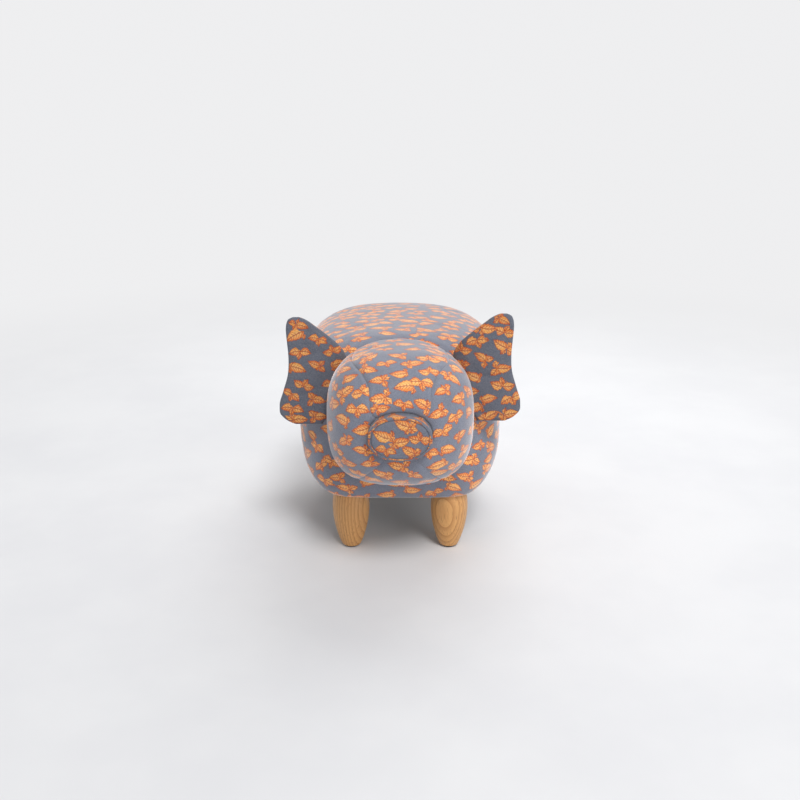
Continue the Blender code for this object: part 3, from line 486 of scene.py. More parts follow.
def spread_evenly(chosen, centres, facing, areas, rng):
    """Move the chosen faces towards the middles of the patches that lie nearest to each of them."""
    sample = rng.permutation(len(centres))[:EVENING_SAMPLE]
    places, normals, weights = centres[sample], facing[sample], areas[sample]
    for _ in range(EVENING_ROUNDS):
        level, upward = cloth_axes(facing[chosen])
        middle = centres[chosen]
        other_side = np.where(normals @ facing[chosen].T < 0, 1.0, 0.0)
        along = offsets(places, level, middle) / MOTIF_ROOM[0]
        across = offsets(places, upward, middle) / MOTIF_ROOM[1]
        beyond = offsets(places, facing[chosen], middle)
        owner = np.argmin(along ** 2 + across ** 2 + beyond ** 2 + other_side, axis=1)
        total, *sums = [np.bincount(owner, weights=share, minlength=len(chosen))
                        for share in (weights, *(weights * places.T))]
        wanted = np.stack(sums, axis=1) / np.maximum(total, TINY)[:, None]
        wanted[total == 0] = middle[total == 0]
        gap = np.sum((places[:, None] - wanted) ** 2, axis=2) + other_side
        chosen = sample[np.argmin(gap, axis=0)]
    return list(dict.fromkeys(chosen.tolist()))


def strew_print(item, seed, spacing=MOTIF_SPACING):
    """Strew motifs over a piece. Each face gets coordinates in the frame of the motif it belongs to,
    in the map named print, and that motif's own random numbers in the map named kind."""
    mesh = item.data
    rng = np.random.default_rng(seed)
    centres = fetch(mesh.polygons, "center", 3)
    facing = fetch(mesh.polygons, "normal", 3)
    outer = item.get("outer_faces", len(centres))
    level, upward = cloth_axes(facing)
    chosen = []
    for face in rng.permutation(outer):
        if chosen:
            offset = centres[chosen] - centres[face]
            along, across = offset @ level[face] / MOTIF_ROOM[0], offset @ upward[face] / MOTIF_ROOM[1]
            beyond = offset @ facing[face]
            same_side = facing[chosen] @ facing[face] > 0
            if (along ** 2 + across ** 2 + beyond ** 2)[same_side].min(initial=1) < spacing ** 2:
                continue
        chosen.append(int(face))
    areas = fetch(mesh.polygons, "area")
    chosen = spread_evenly(chosen, centres[:outer], facing[:outer], areas[:outer], rng)
    places, normals = centres[chosen], facing[chosen]
    firsts, seconds = turned_axes(normals, rng)
    axes = ((firsts, MOTIF_LENGTH), (seconds, MOTIF_WIDTH), (normals, MOTIF_WIDTH))
    reach = sum((offsets(centres, axis, places) / size) ** 2 for axis, size in axes)
    reach += np.where(facing @ normals.T < 0, OUT_OF_REACH, 0)
    owner = np.repeat(np.argmin(reach, axis=1), fetch(mesh.polygons, "loop_total", kind=int))
    corners = fetch(mesh.loops, "vertex_index", kind=int)
    offset = fetch(mesh.vertices, "co", 3)[corners] - places[owner]
    local = np.stack([np.sum(offset * axis[owner], axis=1) for axis in (firsts, seconds)], axis=1)
    random = rng.random((len(chosen), 2))
    for name, values in (("print", local / MOTIF_UNIT), ("kind", random[owner])):
        layer = mesh.uv_layers.new(name=name)
        layer.data.foreach_set("uv", values.astype(np.float32).ravel())


def dress(item, slot, materials, *nodes, fill=None):
    """Give a piece of the stool its material and the solids that it stands for. The fill, how far a padded piece's
    filling fills it, is not used."""
    item.data.materials.append(materials[slot])
    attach(item, "stool")
    if nodes:
        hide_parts(*nodes)


def worked_out(operation, swapped=False):
    """A method of Value that adds the node for one kind of sum."""
    def method(self, *others):
        values = (*others, self) if swapped else (self, *others)
        return self.graph.math(operation, *values)
    return method


class Value:
    """A number or colour in a material's nodes. Sums with it add the nodes that work them out."""

    def __init__(self, graph, socket):
        self.graph = graph
        self.socket = socket

    __add__ = __radd__ = worked_out("ADD")
    __mul__ = __rmul__ = worked_out("MULTIPLY")
    __sub__ = worked_out("SUBTRACT")
    __rsub__ = worked_out("SUBTRACT", swapped=True)
    __truediv__ = worked_out("DIVIDE")
    __pow__ = worked_out("POWER")
    __abs__ = worked_out("ABSOLUTE")
    __gt__ = worked_out("GREATER_THAN")
    __lt__ = worked_out("LESS_THAN")


class Graph:
    """Short calls for building the nodes of one material, or of the world."""

    def __init__(self, owner):
        owner.use_nodes = True
        self.owner = owner
        self.tree = owner.node_tree
        self.shader = self.tree.nodes.get("Principled BSDF") or self.tree.nodes["Background"]

    def feed(self, socket, value):
        if isinstance(value, Value):
            self.tree.links.new(value.socket, socket)
        elif isinstance(value, tuple) and len(socket.default_value) == 4:
            socket.default_value = (*value, 1.0)
        else:
            socket.default_value = value

    def node(self, kind, inputs, output=0, **settings):
        """Add a node with the given settings and inputs. Returns one of its outputs."""
        node = self.tree.nodes.new("ShaderNode" + kind)
        for name, value in settings.items():
            setattr(node, name, value)
        for key, value in inputs.items():
            self.feed(node.inputs[key], value)
        return Value(self, node.outputs[output])

    def math(self, operation, *values, clamp=False):
        return self.node("Math", dict(enumerate(values)), operation=operation, use_clamp=clamp)

    def ramp(self, value, low, high, start=0.0, end=1.0):
        """Map a range of values to another, smoothly and held at its ends."""
        inputs = dict(enumerate((value, low, high, start, end)))
        return self.node("MapRange", inputs, interpolation_type="SMOOTHSTEP")

    def mix(self, share, first, second, blend="MIX"):
        return self.node("Mix", {0: share, 6: first, 7: second}, 2, data_type="RGBA", blend_type=blend)

    def noise(self, vector, scale, detail=3.0, roughness=0.5):
        return self.node("TexNoise", {"Vector": vector, "Scale": scale, "Detail": detail,
                                      "Roughness": roughness}, "Fac")

    def place(self):
        return self.node("TexCoord", {}, "Object")

    def stretch(self, vector, scale):
        return self.node("Mapping", {"Vector": vector, "Scale": scale})

    def split(self, vector):
        parts = self.node("SeparateXYZ", {0: vector}).socket.node.outputs
        return [Value(self, part) for part in parts]

    def map_named(self, name):
        return self.split(self.node("UVMap", {}, uv_map=name))

    def bump(self, height, distance, strength=1.0):
        raised = self.node("Bump", {"Height": height, "Distance": distance, "Strength": strength})
        self.feed(self.shader.inputs["Normal"], raised)

    def finish(self, colour, roughness, **fixed):
        """Give the shader its colour, its roughness and other plain values. Returns the material."""
        self.feed(self.shader.inputs["Base Color"], colour)
        self.feed(self.shader.inputs["Roughness"], roughness)
        for name, value in fixed.items():
            self.shader.inputs[name.replace("_", " ")].default_value = value
        return self.owner


def leaf(graph, x, y, base, angle, length, width, bend):
    """One leaf of a sprig. Returns how far inside it a point lies, which half it is in, and its veins."""
    x, y = x - base[0], y - base[1]
    cosine, sine = graph.math("COSINE", angle), graph.math("SINE", angle)
    along = x * cosine + y * sine
    across = y * cosine - x * sine
    share = graph.math("DIVIDE", along, length, clamp=True)
    across = across - share * (1.0 - share) * bend
    swell = graph.math("SINE", share ** LEAF_BLUNTNESS * math.pi)
    aside = abs(across)
    teeth = graph.math("FRACT", (along - aside * VEIN_SLANT) * VEINS_PER_UNIT)
    half = swell * width - teeth * swell * TOOTH_DEPTH
    inside = half - aside - (along < 0.0)
    side_vein = graph.ramp(abs(teeth - 0.5), 0.05, 0.24, 1.0, 0.0)
    side_vein = side_vein * graph.ramp(aside, 0.06, 0.42, 0.95, 0.25)
    middle_vein = graph.ramp(aside, 0.022, 0.060, 1.0, 0.0)
    return inside, across > 0.0, graph.math("MAXIMUM", side_vein, middle_vein)


def choose(share, first, second):
    """Values that go from the first ones to the second ones as the share goes from nought to one."""
    keep = 1.0 - share
    return [old * keep + new * share for old, new in zip(first, second)]


def nearest_leaf(graph, x, y, shapes):
    """The leaf of a sprig that a point lies deepest in."""
    leaves = [leaf(graph, x, y, *shape) for shape in shapes]
    inside, *marks = leaves[0]
    for deeper, *others in leaves[1:]:
        marks = choose(deeper > inside, marks, others)
        inside = graph.math("MAXIMUM", inside, deeper)
    return [inside, *marks]


def printed_cloth(name, ground, painted_shade, sheen):
    """Napped cloth printed with strewn leaf sprigs in oranges, over a slate ground. Its shade factor, below one
    for pieces that lie in shade, darkens the whole colour as painted shade.
    """
    graph = Graph(bpy.data.materials.new(name))
    x, y, _ = graph.map_named("print")
    kind, tone, _ = graph.map_named("kind")
    place = graph.place()
    size = tone * 0.3 + 0.86
    ragged = (graph.noise(place, 420.0, 1.0) - 0.5) * 0.20
    x = x / size + ragged
    y = y / size + ragged * -0.7
    sprig = graph.math("FRACT", kind * 3.0)
    spread = sprig * 0.6
    rest = 1.0 - sprig
    third = spread * 0.6
    fan = (
        ((-0.42, -0.04), 0.22 - spread, 1.34, 0.42, 0.35),
        ((-0.36, 0.03), 2.45 + spread, 0.74, 0.35, -0.3),
        ((-0.38, -0.06), 4.5 - spread, 0.52 + rest * 0.18, 0.31, 0.3),
        ((-0.26, 0.05), 1.35 - third, 0.56, 0.23, 0.2),
    )
    pair = (
        ((0.04, -0.10), third, 0.98, 0.41, -0.4),
        ((0.10, -0.12), 2.70 + third, 1.06, 0.41, 0.4),
        ((0.06, -0.02), 1.20 + rest * 0.5, 0.66, 0.28, 0.1),
    )
    single = (
        ((-0.80, 0.05), 0.12 - spread * 0.4, 1.60, 0.48, 0.5),
        ((-0.64, 0.02), 1.05 + spread, 0.58, 0.26, 0.2),
        ((-0.62, -0.04), -1.0 - third, 0.50, 0.23, -0.2),
    )
    drawn = nearest_leaf(graph, x, y, fan)
    for low, high, shapes in ((0.40, 0.74, pair), (0.74, 2.0, single)):
        drawn = choose((kind > low) * (kind < high), drawn, nearest_leaf(graph, x, y, shapes))
    inside, half, veins = drawn
    mottle = graph.noise(place, 55.0, 4.0, 0.6)
    base = graph.mix(graph.ramp(mottle, 0.3, 0.7), tuple(part * 0.84 for part in ground), ground)
    flesh = graph.mix(half * 0.8, graph.mix(tone, *DEEP_ORANGES), graph.mix(tone, *PALE_ORANGES))
    flesh = graph.mix(graph.ramp(inside + mottle * 0.25, 0.22, 0.46) * 0.70, flesh, GLOW_ORANGE)
    flesh = graph.mix(veins * 0.85, flesh, VEIN_RED)
    flesh = graph.mix(graph.ramp(inside, 0.025, 0.095, 0.95, 0.0), flesh, OUTLINE_RED)
    colour = graph.mix(graph.ramp(inside, 0.0, 0.03), base, flesh)
    fibre = graph.noise(place, 900.0, 2.0)
    colour = graph.mix(graph.ramp(fibre, 0.35, 0.7, 0.0, 0.16), colour, FIBRE_GREY)
    # Painted shade: the whole colour is multiplied down by the shade factor for pieces that lie in shade
    colour = graph.mix(1.0, colour, (painted_shade, painted_shade, painted_shade), "MULTIPLY")
    weave = graph.noise(place, 1500.0, 2.0, 0.7)
    nap = graph.noise(place, 260.0, 3.0)
    graph.bump(weave * 0.6 + nap, 0.00035, 0.7)
    rough = graph.ramp(mottle, 0.3, 0.7, 0.78, 0.9)
    return graph.finish(colour, rough, Sheen_Weight=sheen, Sheen_Roughness=0.4,
                        Sheen_Tint=(1.0, 0.96, 0.98, 1.0), Specular_IOR_Level=0.2)


def wood(name, light, dark, rings_per_metre, gloss):
    """Planed or turned wood with growth rings along its length, pores and a thin oil finish."""
    graph = Graph(bpy.data.materials.new(name))
    place = graph.place()
    wander = graph.noise(graph.stretch(place, (9.0, 9.0, 3.0)), 1.0, 2.0)
    x, y, _ = graph.split(place)
    radius = graph.math("SQRT", (x + wander * 0.030 - 0.075) ** 2.0 + (y + 0.004) ** 2.0)
    late = graph.math("FRACT", radius * rings_per_metre) ** 2.2
    fibre = graph.noise(graph.stretch(place, (1300.0, 1300.0, 45.0)), 1.0, 3.0, 0.7)
    pores = graph.ramp(graph.noise(graph.stretch(place, (700.0, 700.0, 38.0)), 1.0, 1.0), 0.6, 0.72)
    colour = graph.mix(late * 0.75, light, dark)
    colour = graph.mix(graph.ramp(fibre, 0.3, 0.75, 0.0, 0.35), colour, dark)
    colour = graph.mix(pores * 0.45, colour, tuple(part * 0.45 for part in dark))
    graph.bump(fibre + pores * -0.8, 0.00012, 0.5)
    rough = graph.ramp(fibre, 0.2, 0.8, gloss - 0.06, gloss + 0.1)
    return graph.finish(colour, rough, Coat_Weight=0.12, Coat_Roughness=0.3)


def plain_grain(name, light, dark, scale, roughness, metallic=0.0, distance=0.0003):
    """A plain material with fine variation: foam, stuffing, steel, plastic or lining."""
    graph = Graph(bpy.data.materials.new(name))
    place = graph.place()
    fine = graph.noise(place, scale, 3.0, 0.6)
    broad = graph.noise(place, scale / 12, 2.0)
    colour = graph.mix(graph.ramp(fine + broad, 0.7, 1.3), dark, light)
    graph.bump(fine, distance, 0.6)
    rough = graph.ramp(broad, 0.3, 0.7, roughness - 0.06, roughness + 0.06)
    return graph.finish(colour, rough, Metallic=metallic)


def make_materials():
    """Every material by the name of its slot. Each kind of look is the values of its own function."""
    looks = (
        (printed_cloth, {
            "printed_cloth": (SLATE, 1.0, 0.8),
            # The ears' ground is darkened to 0.80 and their whole colour to 0.77: painted shade, for ears whose
            # fronts turn away from the light
            "ear_cloth": (tuple(0.80 * part for part in SLATE), 0.77, 0.10),
            # The snout's whole colour is darkened to 0.80: painted shade, for a snout face that turns forward and
            # down, away from the light
            "snout_cloth": (SLATE, 0.80, 0.3),
        }),
        (wood, {
            "oiled_hardwood": ((0.655, 0.352, 0.124), (0.36, 0.145, 0.040), 210.0, 0.42),
            "plywood": ((0.66, 0.49, 0.31), (0.50, 0.33, 0.18), 160.0, 0.62),
            "pine": ((0.74, 0.55, 0.33), (0.58, 0.36, 0.17), 140.0, 0.6),
        }),
        (plain_grain, {
            "zinc_steel": ((0.64, 0.64, 0.62), (0.48, 0.48, 0.47), 900.0, 0.34, 1.0, 0.00005),
            "glide_plastic": ((0.06, 0.055, 0.05), (0.035, 0.03, 0.03), 700.0, 0.5),
            "dust_lining": ((0.03, 0.03, 0.032), (0.012, 0.012, 0.013), 1200.0, 0.92),
            "foam": ((0.80, 0.76, 0.60), (0.66, 0.60, 0.44), 1100.0, 0.95),
            "stuffing": ((0.86, 0.86, 0.84), (0.72, 0.72, 0.70), 500.0, 0.95),
        }),
    )
    return {name: make(name, *values) for make, slots in looks for name, values in slots.items()}


def body_ring(angles, half_x, half_y, power, z):
    """Points of the body's plan outline, at the height z."""
    x, y = superellipse(angles, half_x, half_y, power)
    return np.stack([x, y + BODY_MIDDLE_Y, np.broadcast_to(z, x.shape)], axis=-1)


def body_grid():
    """Dense grid over the padded body, from its hem under the base up to the middle of the seat.
    Returns the points, the row of the underside edge and the seam row of the rear panel."""
    rise = np.sin(np.linspace(0, math.pi / 2, 1600)) ** (2 / BODY_TOP_POWER)
    heights = WIDEST_HEIGHT + (SEAT_HEIGHT - WIDEST_HEIGHT) * rise
    crown = even_steps(heights, body_half_sizes(heights)[0])
    crown[np.argmin(np.abs(crown - REAR_PANEL_TOP))] = REAR_PANEL_TOP
    heights = np.linspace(BELLY_HEIGHT, WIDEST_HEIGHT, 400)
    belly = even_steps(heights, body_half_sizes(heights)[0])[:-1]
    z = np.concatenate([belly, crown])
    columns = smooth_steps(2 * (BODY_WIDTH + BODY_LENGTH) * GIRTH_SHARE, GRID) // 8 * 8
    angles = np.linspace(0, 2 * math.pi, columns, endpoint=False)
    half_x, half_y, power = (part[:, None] for part in body_half_sizes(z))
    half_x, half_y = np.maximum(half_x, 1e-9), np.maximum(half_y, 1e-9)
    rows = body_ring(angles[None, :], half_x, half_y, power, z[:, None])
    rows[-1] = (0, BODY_MIDDLE_Y, SEAT_HEIGHT)
    rows[..., 2] += neck_swell(rows)
    hem = [body_ring(angles, half_x[0] - shrink, half_y[0] - shrink, power[0], BELLY_HEIGHT)
           for shrink in np.linspace(HEM_WIDTH, HEM_FOLD, smooth_steps(HEM_WIDTH, GRID))]
    seam = len(hem) + int(np.argmin(np.abs(z - REAR_PANEL_TOP)))
    return np.concatenate([np.array(hem), rows]), len(hem), seam


def body_shift(points, seed):
    """The slight unevenness of the foam and the gathers above the hem."""
    height, size, *spread = HEM_GATHERS
    soft = FULLNESS + lumps(points, seed, (0.0008, 0.085), (0.0003, 0.030))
    above = points[..., 2] - BELLY_HEIGHT
    gather = height * unevenness(points * (1, 1, 0.25), size, seed + 2) * hump(above, *spread)
    return (soft + gather) * np.clip(above / HEM_FLAT, 0, 1)


def make_body(materials):
    """The main cover and the rear panel sewn into it, which share one dense form."""
    points, edge, seam = body_grid()
    rows, columns = points.shape[:2]
    first, last = columns // 4 - columns // 8, columns // 4 + columns // 8
    rear = [(row, column) for row in range(edge, seam) for column in range(first, last)]
    border = [points[row, column] for row in range(edge, seam + 1) for column in (first, last)]
    border += [points[seam, column] for column in range(first, last + 1)]
    normals = grid_normals(points)
    normals[-1] = (0, 0, 1)
    shaped, depth = sewn_form(points, normals, head_level, 3, [(border, 8, SEAM_DEPTH, SEAM_WIDTH)],
                              body_shift(points, 4), [points[points[..., 2] < BELLY_HEIGHT + HEM_HELD]],
                              voxel=0.007, slack=0.003, pressure=0.6)
    left_out = set(rear)
    main = [(row, column) for row in range(rows - 1) for column in range(columns)
            if depth[row, column] < HIDDEN_BODY_DEPTH and (row, column) not in left_out]
    parts = (("body_cover", main, "cover_body", 14), ("rear_cover", rear, "cover_rear", 12))
    for name, cells, node, seed in parts:
        item = shell(name, shaped, cells)
        strew_print(item, seed, BODY_MOTIF_SPACING)
        dress(item, "printed_cloth", materials, node, fill=0.85)


# Polar angle of the forehead seam from the neck to the snout, as a share of a right angle, the chin seams as
# shares of the way round below it, the columns of each panel and how far they crowd towards its seams
SEAM_PLACE_SHARES = (-0.70, 0.0, 0.30, 0.52, 0.68, 0.80, 0.89, 0.955, 1.0)
SEAM_ANGLE_SHARES = (0.57, 0.57, 0.59, 0.62, 0.63, 0.62, 0.57, 0.49, 0.40)
CHIN_SHARES = (9 / 24, 15 / 24)
HEAD_COLUMNS = (34, 58, 38, 58)
SEAM_CROWDING = 0.62


def head_grid():
    """Dense grid over the head, from inside the neck to the snout, with its seams on columns. Returns the
    points and the columns of the seams: forehead right and left, chin left and right."""
    share = np.sin(np.linspace(0, math.pi / 2, 900)) ** (2 / HEAD_DOME_POWER)
    front = HEAD_WIDEST - share * (HEAD_WIDEST - HEAD_FACE)
    dome = even_steps(front, head_half_sizes(front)[0])
    neck_end = BODY_FRONT + HEAD_ROOT
    neck = np.linspace(neck_end, HEAD_WIDEST, smooth_steps(neck_end - HEAD_WIDEST, GRID), endpoint=False)
    y = np.concatenate([neck, dome])
    places = (HEAD_WIDEST - y) / (HEAD_WIDEST - HEAD_FACE)
    seam = smooth_through(SEAM_PLACE_SHARES, SEAM_ANGLE_SHARES, places) * math.pi / 2
    lower = math.pi + 2 * seam
    left = math.pi - seam
    stops = [seam, left, *(left + lower * share for share in CHIN_SHARES), 2 * math.pi + seam]
    angles = []
    for start, end, count in zip(stops, stops[1:], HEAD_COLUMNS):
        share = np.arange(count) / count
        share -= SEAM_CROWDING * np.sin(2 * math.pi * share) / (2 * math.pi)
        angles.append(start[:, None] + (end - start)[:, None] * share)
    angles = np.concatenate(angles, axis=1)
    half_x, half_z, power, centre = (part[:, None] for part in head_half_sizes(y))
    x, z = superellipse(angles, half_x, half_z, power)
    points = np.stack([x, np.broadcast_to(y[:, None], x.shape), z + centre], axis=2)
    return points, [0, *np.cumsum(HEAD_COLUMNS).tolist()]


def smooth_through(places, values, wanted):
    """A smooth curve through a table, by cubic pieces with the slopes of its neighbours."""
    places, values = np.array(places, float), np.array(values, float)
    slopes = np.gradient(values, places)
    index = np.clip(np.searchsorted(places, wanted) - 1, 0, len(places) - 2)
    width = places[index + 1] - places[index]
    share = np.clip((wanted - places[index]) / width, 0, 1)
    start = (1 + 2 * share) * (1 - share) ** 2
    end = share ** 2 * (3 - 2 * share)
    lift = share * (1 - share) ** 2 * width * slopes[index]
    fall = share ** 2 * (share - 1) * width * slopes[index + 1]
    return values[index] * start + values[index + 1] * end + lift + fall


def make_head(materials):
    """Forehead, cheeks and chin, each drawn in along its seams, and the neck seam to the body."""
    points, edges = head_grid()
    upper, chin = (points[:, columns].reshape(-1, 3) for columns in (edges[:2], edges[2:4]))
    seams = ((upper, 22, 0.0014, 0.0021), (chin, 26, 0.0007, 0.0021), (points[-1], 23, 0.0012, 0.0040))
    softness = FULLNESS + lumps(points, 24, (0.0008, 0.060), (0.0003, 0.022))
    shaped, depth = sewn_form(points, grid_normals(points), body_level, 21, seams, softness,
                              voxel=0.005, slack=0.009, pressure=4.0)
    for index, name in enumerate(("forehead", "cheek_left", "chin", "cheek_right")):
        cells = [(row, column) for row in range(len(points) - 1) for column in range(*edges[index:index + 2])
                 if depth[row, column] <= HIDDEN_HEAD_DEPTH]
        item = shell(name + "_cover", shaped, cells)
        strew_print(item, 31 + index)
        dress(item, "printed_cloth", materials, "cover_" + name, fill=0.9)


def snout_profile():
    """Places along the snout and how far it has narrowed there, from its root round the lip, down to the
    seam and over the disc to the middle. Also says which row is the seam's."""
    root, face = HEAD_FACE + 0.002, HEAD_FACE - SNOUT_LENGTH
    corner, bulge, crown, groove, sunk = 0.0030, 0.0010, 0.0026, 0.0012, 0.0006
    profile = [(root + (face + corner - root) * share, bulge * math.sin(math.pi * share))
               for share in np.linspace(0, 1, 8)]
    for angle in np.arange(1, 9) * math.pi / 16:
        profile.append((face + corner * (1 - math.sin(angle)), corner * (1 - math.cos(angle))))
    for share in np.linspace(0.2, 1, 6):
        profile.append((face - sunk + groove * share ** 3, corner + (SNOUT_SEAM - corner) * share))
    seam = len(profile) - 1
    for share in np.linspace(0, 1, 20)[1:]:
        rise = groove * (1 - min(share / 0.10, 1)) ** 2
        inward = SNOUT_SEAM + (SNOUT_HEIGHT / 2 - SNOUT_SEAM) * share
        profile.append((face + rise - sunk - crown * (1 - (1 - share) ** 2), inward))
    return profile, seam


def make_snout(materials):
    """The snout's side and lip, and its disc, which are sewn together on the lip."""
    profile, seam = snout_profile()
    angles = np.linspace(0, 2 * math.pi, 120, endpoint=False)
    rows = []
    for y, shrink in profile:
        half_x, half_z = SNOUT_WIDTH / 2 - shrink, SNOUT_HEIGHT / 2 - shrink
        if shrink > SNOUT_SEAM:
            half_x = (SNOUT_WIDTH / 2 - SNOUT_SEAM) * half_z / (SNOUT_HEIGHT / 2 - SNOUT_SEAM)
        x, z = superellipse(angles, max(half_x, 1e-9), max(half_z, 1e-9), SNOUT_POWER)
        rows.append(np.stack([x, np.full(len(angles), y), z + SNOUT_CENTRE_HEIGHT], axis=1))
    points = np.array(rows)
    points[-1] = points[-1].mean(axis=0)
    normals = grid_normals(points)
    normals[-1] = (0, -1, 0)
    points = points + normals * lumps(points, 41, (0.0004, 0.018), (0.0002, 0.006))[..., None]
    last = len(points) - 1
    parts = (("snout_side", 0, seam, "snout_band", 43), ("snout_face", seam, last, "snout_disc", 44))
    for name, start, end, node, seed in parts:
        cells = [(row, column) for row in range(start, end) for column in range(len(angles))]
        item = shell(name, points, cells)
        strew_print(item, seed)
        dress(item, "snout_cloth", materials, node, fill=0.9)


# Ear outline at stations up its height: outer and inner edges as shares of its reach
EAR_PLACE_SHARES = (0.0, 0.023, 0.08, 0.18, 0.32, 0.48, 0.62, 0.77, 0.84, 0.92, 0.96, 0.985, 1.0)
EAR_OUTER_SHARES = (0.50, 0.62, 0.79, 0.86, 0.82, 0.77, 0.79, 0.85, 0.88, 0.90, 0.89, 0.86, 0.79)
EAR_INNER_SHARES = (0.0, -0.01, -0.12, -0.30, -0.30, -0.30, -0.28, -0.05, 0.14, 0.38, 0.50, 0.60, 0.68)
EAR_ROOT_THICKNESS = 0.012
EAR_RIM_THICKNESS = 0.0075
EAR_ROUNDING = 0.0065
EAR_COLUMNS = 44
EAR_RAISES = {-1: 0.0, 1: 0.0055}


def eased_shares(count, ease):
    """Shares from 0 to 1 that lie closer together towards both ends."""
    even = np.linspace(0, 1, count + 1)
    return (1 - np.cos(math.pi * even)) / 2 * ease + even * (1 - ease)


def ear_sheets(sign):
    """Front and back of one ear in its hinge's frame: x outward, y back, z along the hinge."""
    step, pucker, puff, tilt, curl, curl_reach = 0.0026, 0.0004, 0.0012, 0.004, 0.010, 0.024
    share = eased_shares(smooth_steps(EAR_HEIGHT, step), 0.35)
    outer = smooth_through(EAR_PLACE_SHARES, EAR_OUTER_SHARES, share) * EAR_REACH
    inner = smooth_through(EAR_PLACE_SHARES, EAR_INNER_SHARES, share) * EAR_REACH
    x = inner[:, None] + (outer - inner)[:, None] * eased_shares(EAR_COLUMNS, 0.5)
    flat = np.stack([x, np.zeros_like(x), np.broadcast_to((share * EAR_HEIGHT)[:, None], x.shape)], axis=2)
    rim = np.concatenate([flat[:, -1], flat[0], flat[-1], flat[:, 0]])
    inward = border_distance(flat, rim)
    edge = np.sqrt(np.clip(1 - (1 - np.clip(inward / EAR_ROUNDING, 0, 1)) ** 2, 0, 1))
    reach = np.clip(x / EAR_REACH, 0, 1)
    half = (EAR_ROOT_THICKNESS + (EAR_RIM_THICKNESS - EAR_ROOT_THICKNESS) * reach) / 2 * edge
    gather = unevenness(flat + sign, 0.010, 51) * hump(inward, 0.005, 0.004)
    soft = unevenness(flat + sign, 0.045, 52)
    cup = -tilt * reach ** 2 + curl * np.clip(-x / curl_reach, 0, 1) ** 1.5
    middle = cup + puff * soft * np.clip(inward / 0.01, 0, 1)
    front, back = flat.copy(), flat.copy()
    front[..., 1] = middle - half - pucker * gather
    back[..., 1] = middle + half + pucker * gather
    for sheet in (front, back):
        sheet[..., 2] -= sheet[..., 0] * math.tan(EAR_LEAN)
    return front, back


def settle_ear(front, back):
    """The ear's two sheets settle over their stuffing, held round the edge and along the root."""
    loop = np.concatenate([front, back[:, ::-1]], axis=1)
    outward = np.zeros_like(front)
    outward[..., 1] = 1
    facing = np.concatenate([-outward, outward], axis=1)
    edge = np.concatenate([front[0], front[-1], front[:, 0], front[:, -1], front[front[..., 0] < 0.004]])
    drift = settle(loop, facing, edge, voxel=0.0035, slack=0.008, pressure=2.0)
    columns = front.shape[1]
    return drift[:, :columns], drift[:, columns:][:, ::-1]


def make_ear(side, sign, joint, materials):
    """One stuffed ear, sewn round its edge, set at its root's joint."""
    front, back = ear_sheets(sign)
    rows, columns = front.shape[:2]
    turn = np.array(Matrix.Rotation(-sign * EAR_LEAN, 3, "Y"))
    numbers = np.arange(rows * columns).reshape(rows, columns)
    inner = np.zeros((rows, columns), dtype=bool)
    inner[1:-1, 1:-1] = True
    vertices, faces = [], []
    for layer, (sheet, drift) in enumerate(zip((front, back), settle_ear(front, back))):
        shaped = np.where(inner[..., None], sheet + drift, (front + back) / 2)
        shaped = ((shaped + (0, 0, EAR_RAISES[sign])) * (sign, 1, 1)) @ turn.T + np.array(joint["pos_m"])
        if layer:
            numbers[inner] = len(vertices) + np.arange(inner.sum())
        vertices += shaped[inner if layer else np.ones_like(inner)].tolist()
        rings = (numbers[:-1, :-1], numbers[:-1, 1:], numbers[1:, 1:], numbers[1:, :-1])
        rings = np.stack(rings, axis=2).reshape(-1, 4)
        faces += (rings if (layer == 0) == (sign > 0) else rings[:, ::-1]).tolist()
    item = build_mesh("ear_" + side + "_flap", vertices, faces)
    strew_print(item, 61 if sign < 0 else 62)
    item.data.materials.append(materials["ear_cloth"])
    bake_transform(item)
    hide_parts(*(f"ear_{part}_{side}" for part in ("front", "back", "filling", "root")))


def tail_centre(share):
    """Centre line of the tail: a short stem, then one curl that climbs to the side."""
    stem, curl, pitch, turns, drop = 0.010, 0.014, 0.024, 1.1, 0.083
    turn = share * turns * 2 * math.pi
    y = REAR_Y + stem + curl * (1 - math.cos(turn))
    return Vector((pitch * share, y, SEAT_HEIGHT - drop + curl * math.sin(turn)))


def make_tail(materials):
    """A stuffed tail in one curl, thick at its root, with a seam along its inner side."""
    root, tip, sides, steps = 0.0155, 0.008, 28, 90
    rounding, groove_depth, groove_width = 0.035, 0.16, 0.16
    hidden_end = Vector((0, -0.022, -0.0075))
    line = [tail_centre(0) + hidden_end * (1 - step / 2) for step in range(2)]
    line += [tail_centre(step / steps) for step in range(steps + 1)]
    side = Vector((1, 0, 0))
    vertices = []
    last = len(line) - 1
    for index, place in enumerate(line):
        along = (line[min(index + 1, last)] - line[max(index - 1, 0)]).normalized()
        side = (side - along * side.dot(along)).normalized()
        across = along.cross(side)
        share = index / last
        radius = (root + (tip - root) * share) / 2
        radius *= math.sqrt(max(0.0, 1 - max(0.0, (share - 1 + rounding) / rounding) ** 2))
        for step in range(sides):
            angle = 2 * math.pi * step / sides
            groove = 1 - groove_depth * math.exp(-((angle - math.pi) / groove_width) ** 2)
            reach = max(radius * groove, 1e-5) * (1 + 0.05 * noise.noise(place * 160 + Vector((angle, 0, 0))))
            vertices.append(tuple(place + (side * math.cos(angle) + across * math.sin(angle)) * reach))
    item = build_mesh("curled_tail", vertices, [face[::-1] for face in closed_faces(len(line), sides)])
    strew_print(item, 71, 0.017)
    dress(item, "printed_cloth", materials, "tail", fill=0.9)


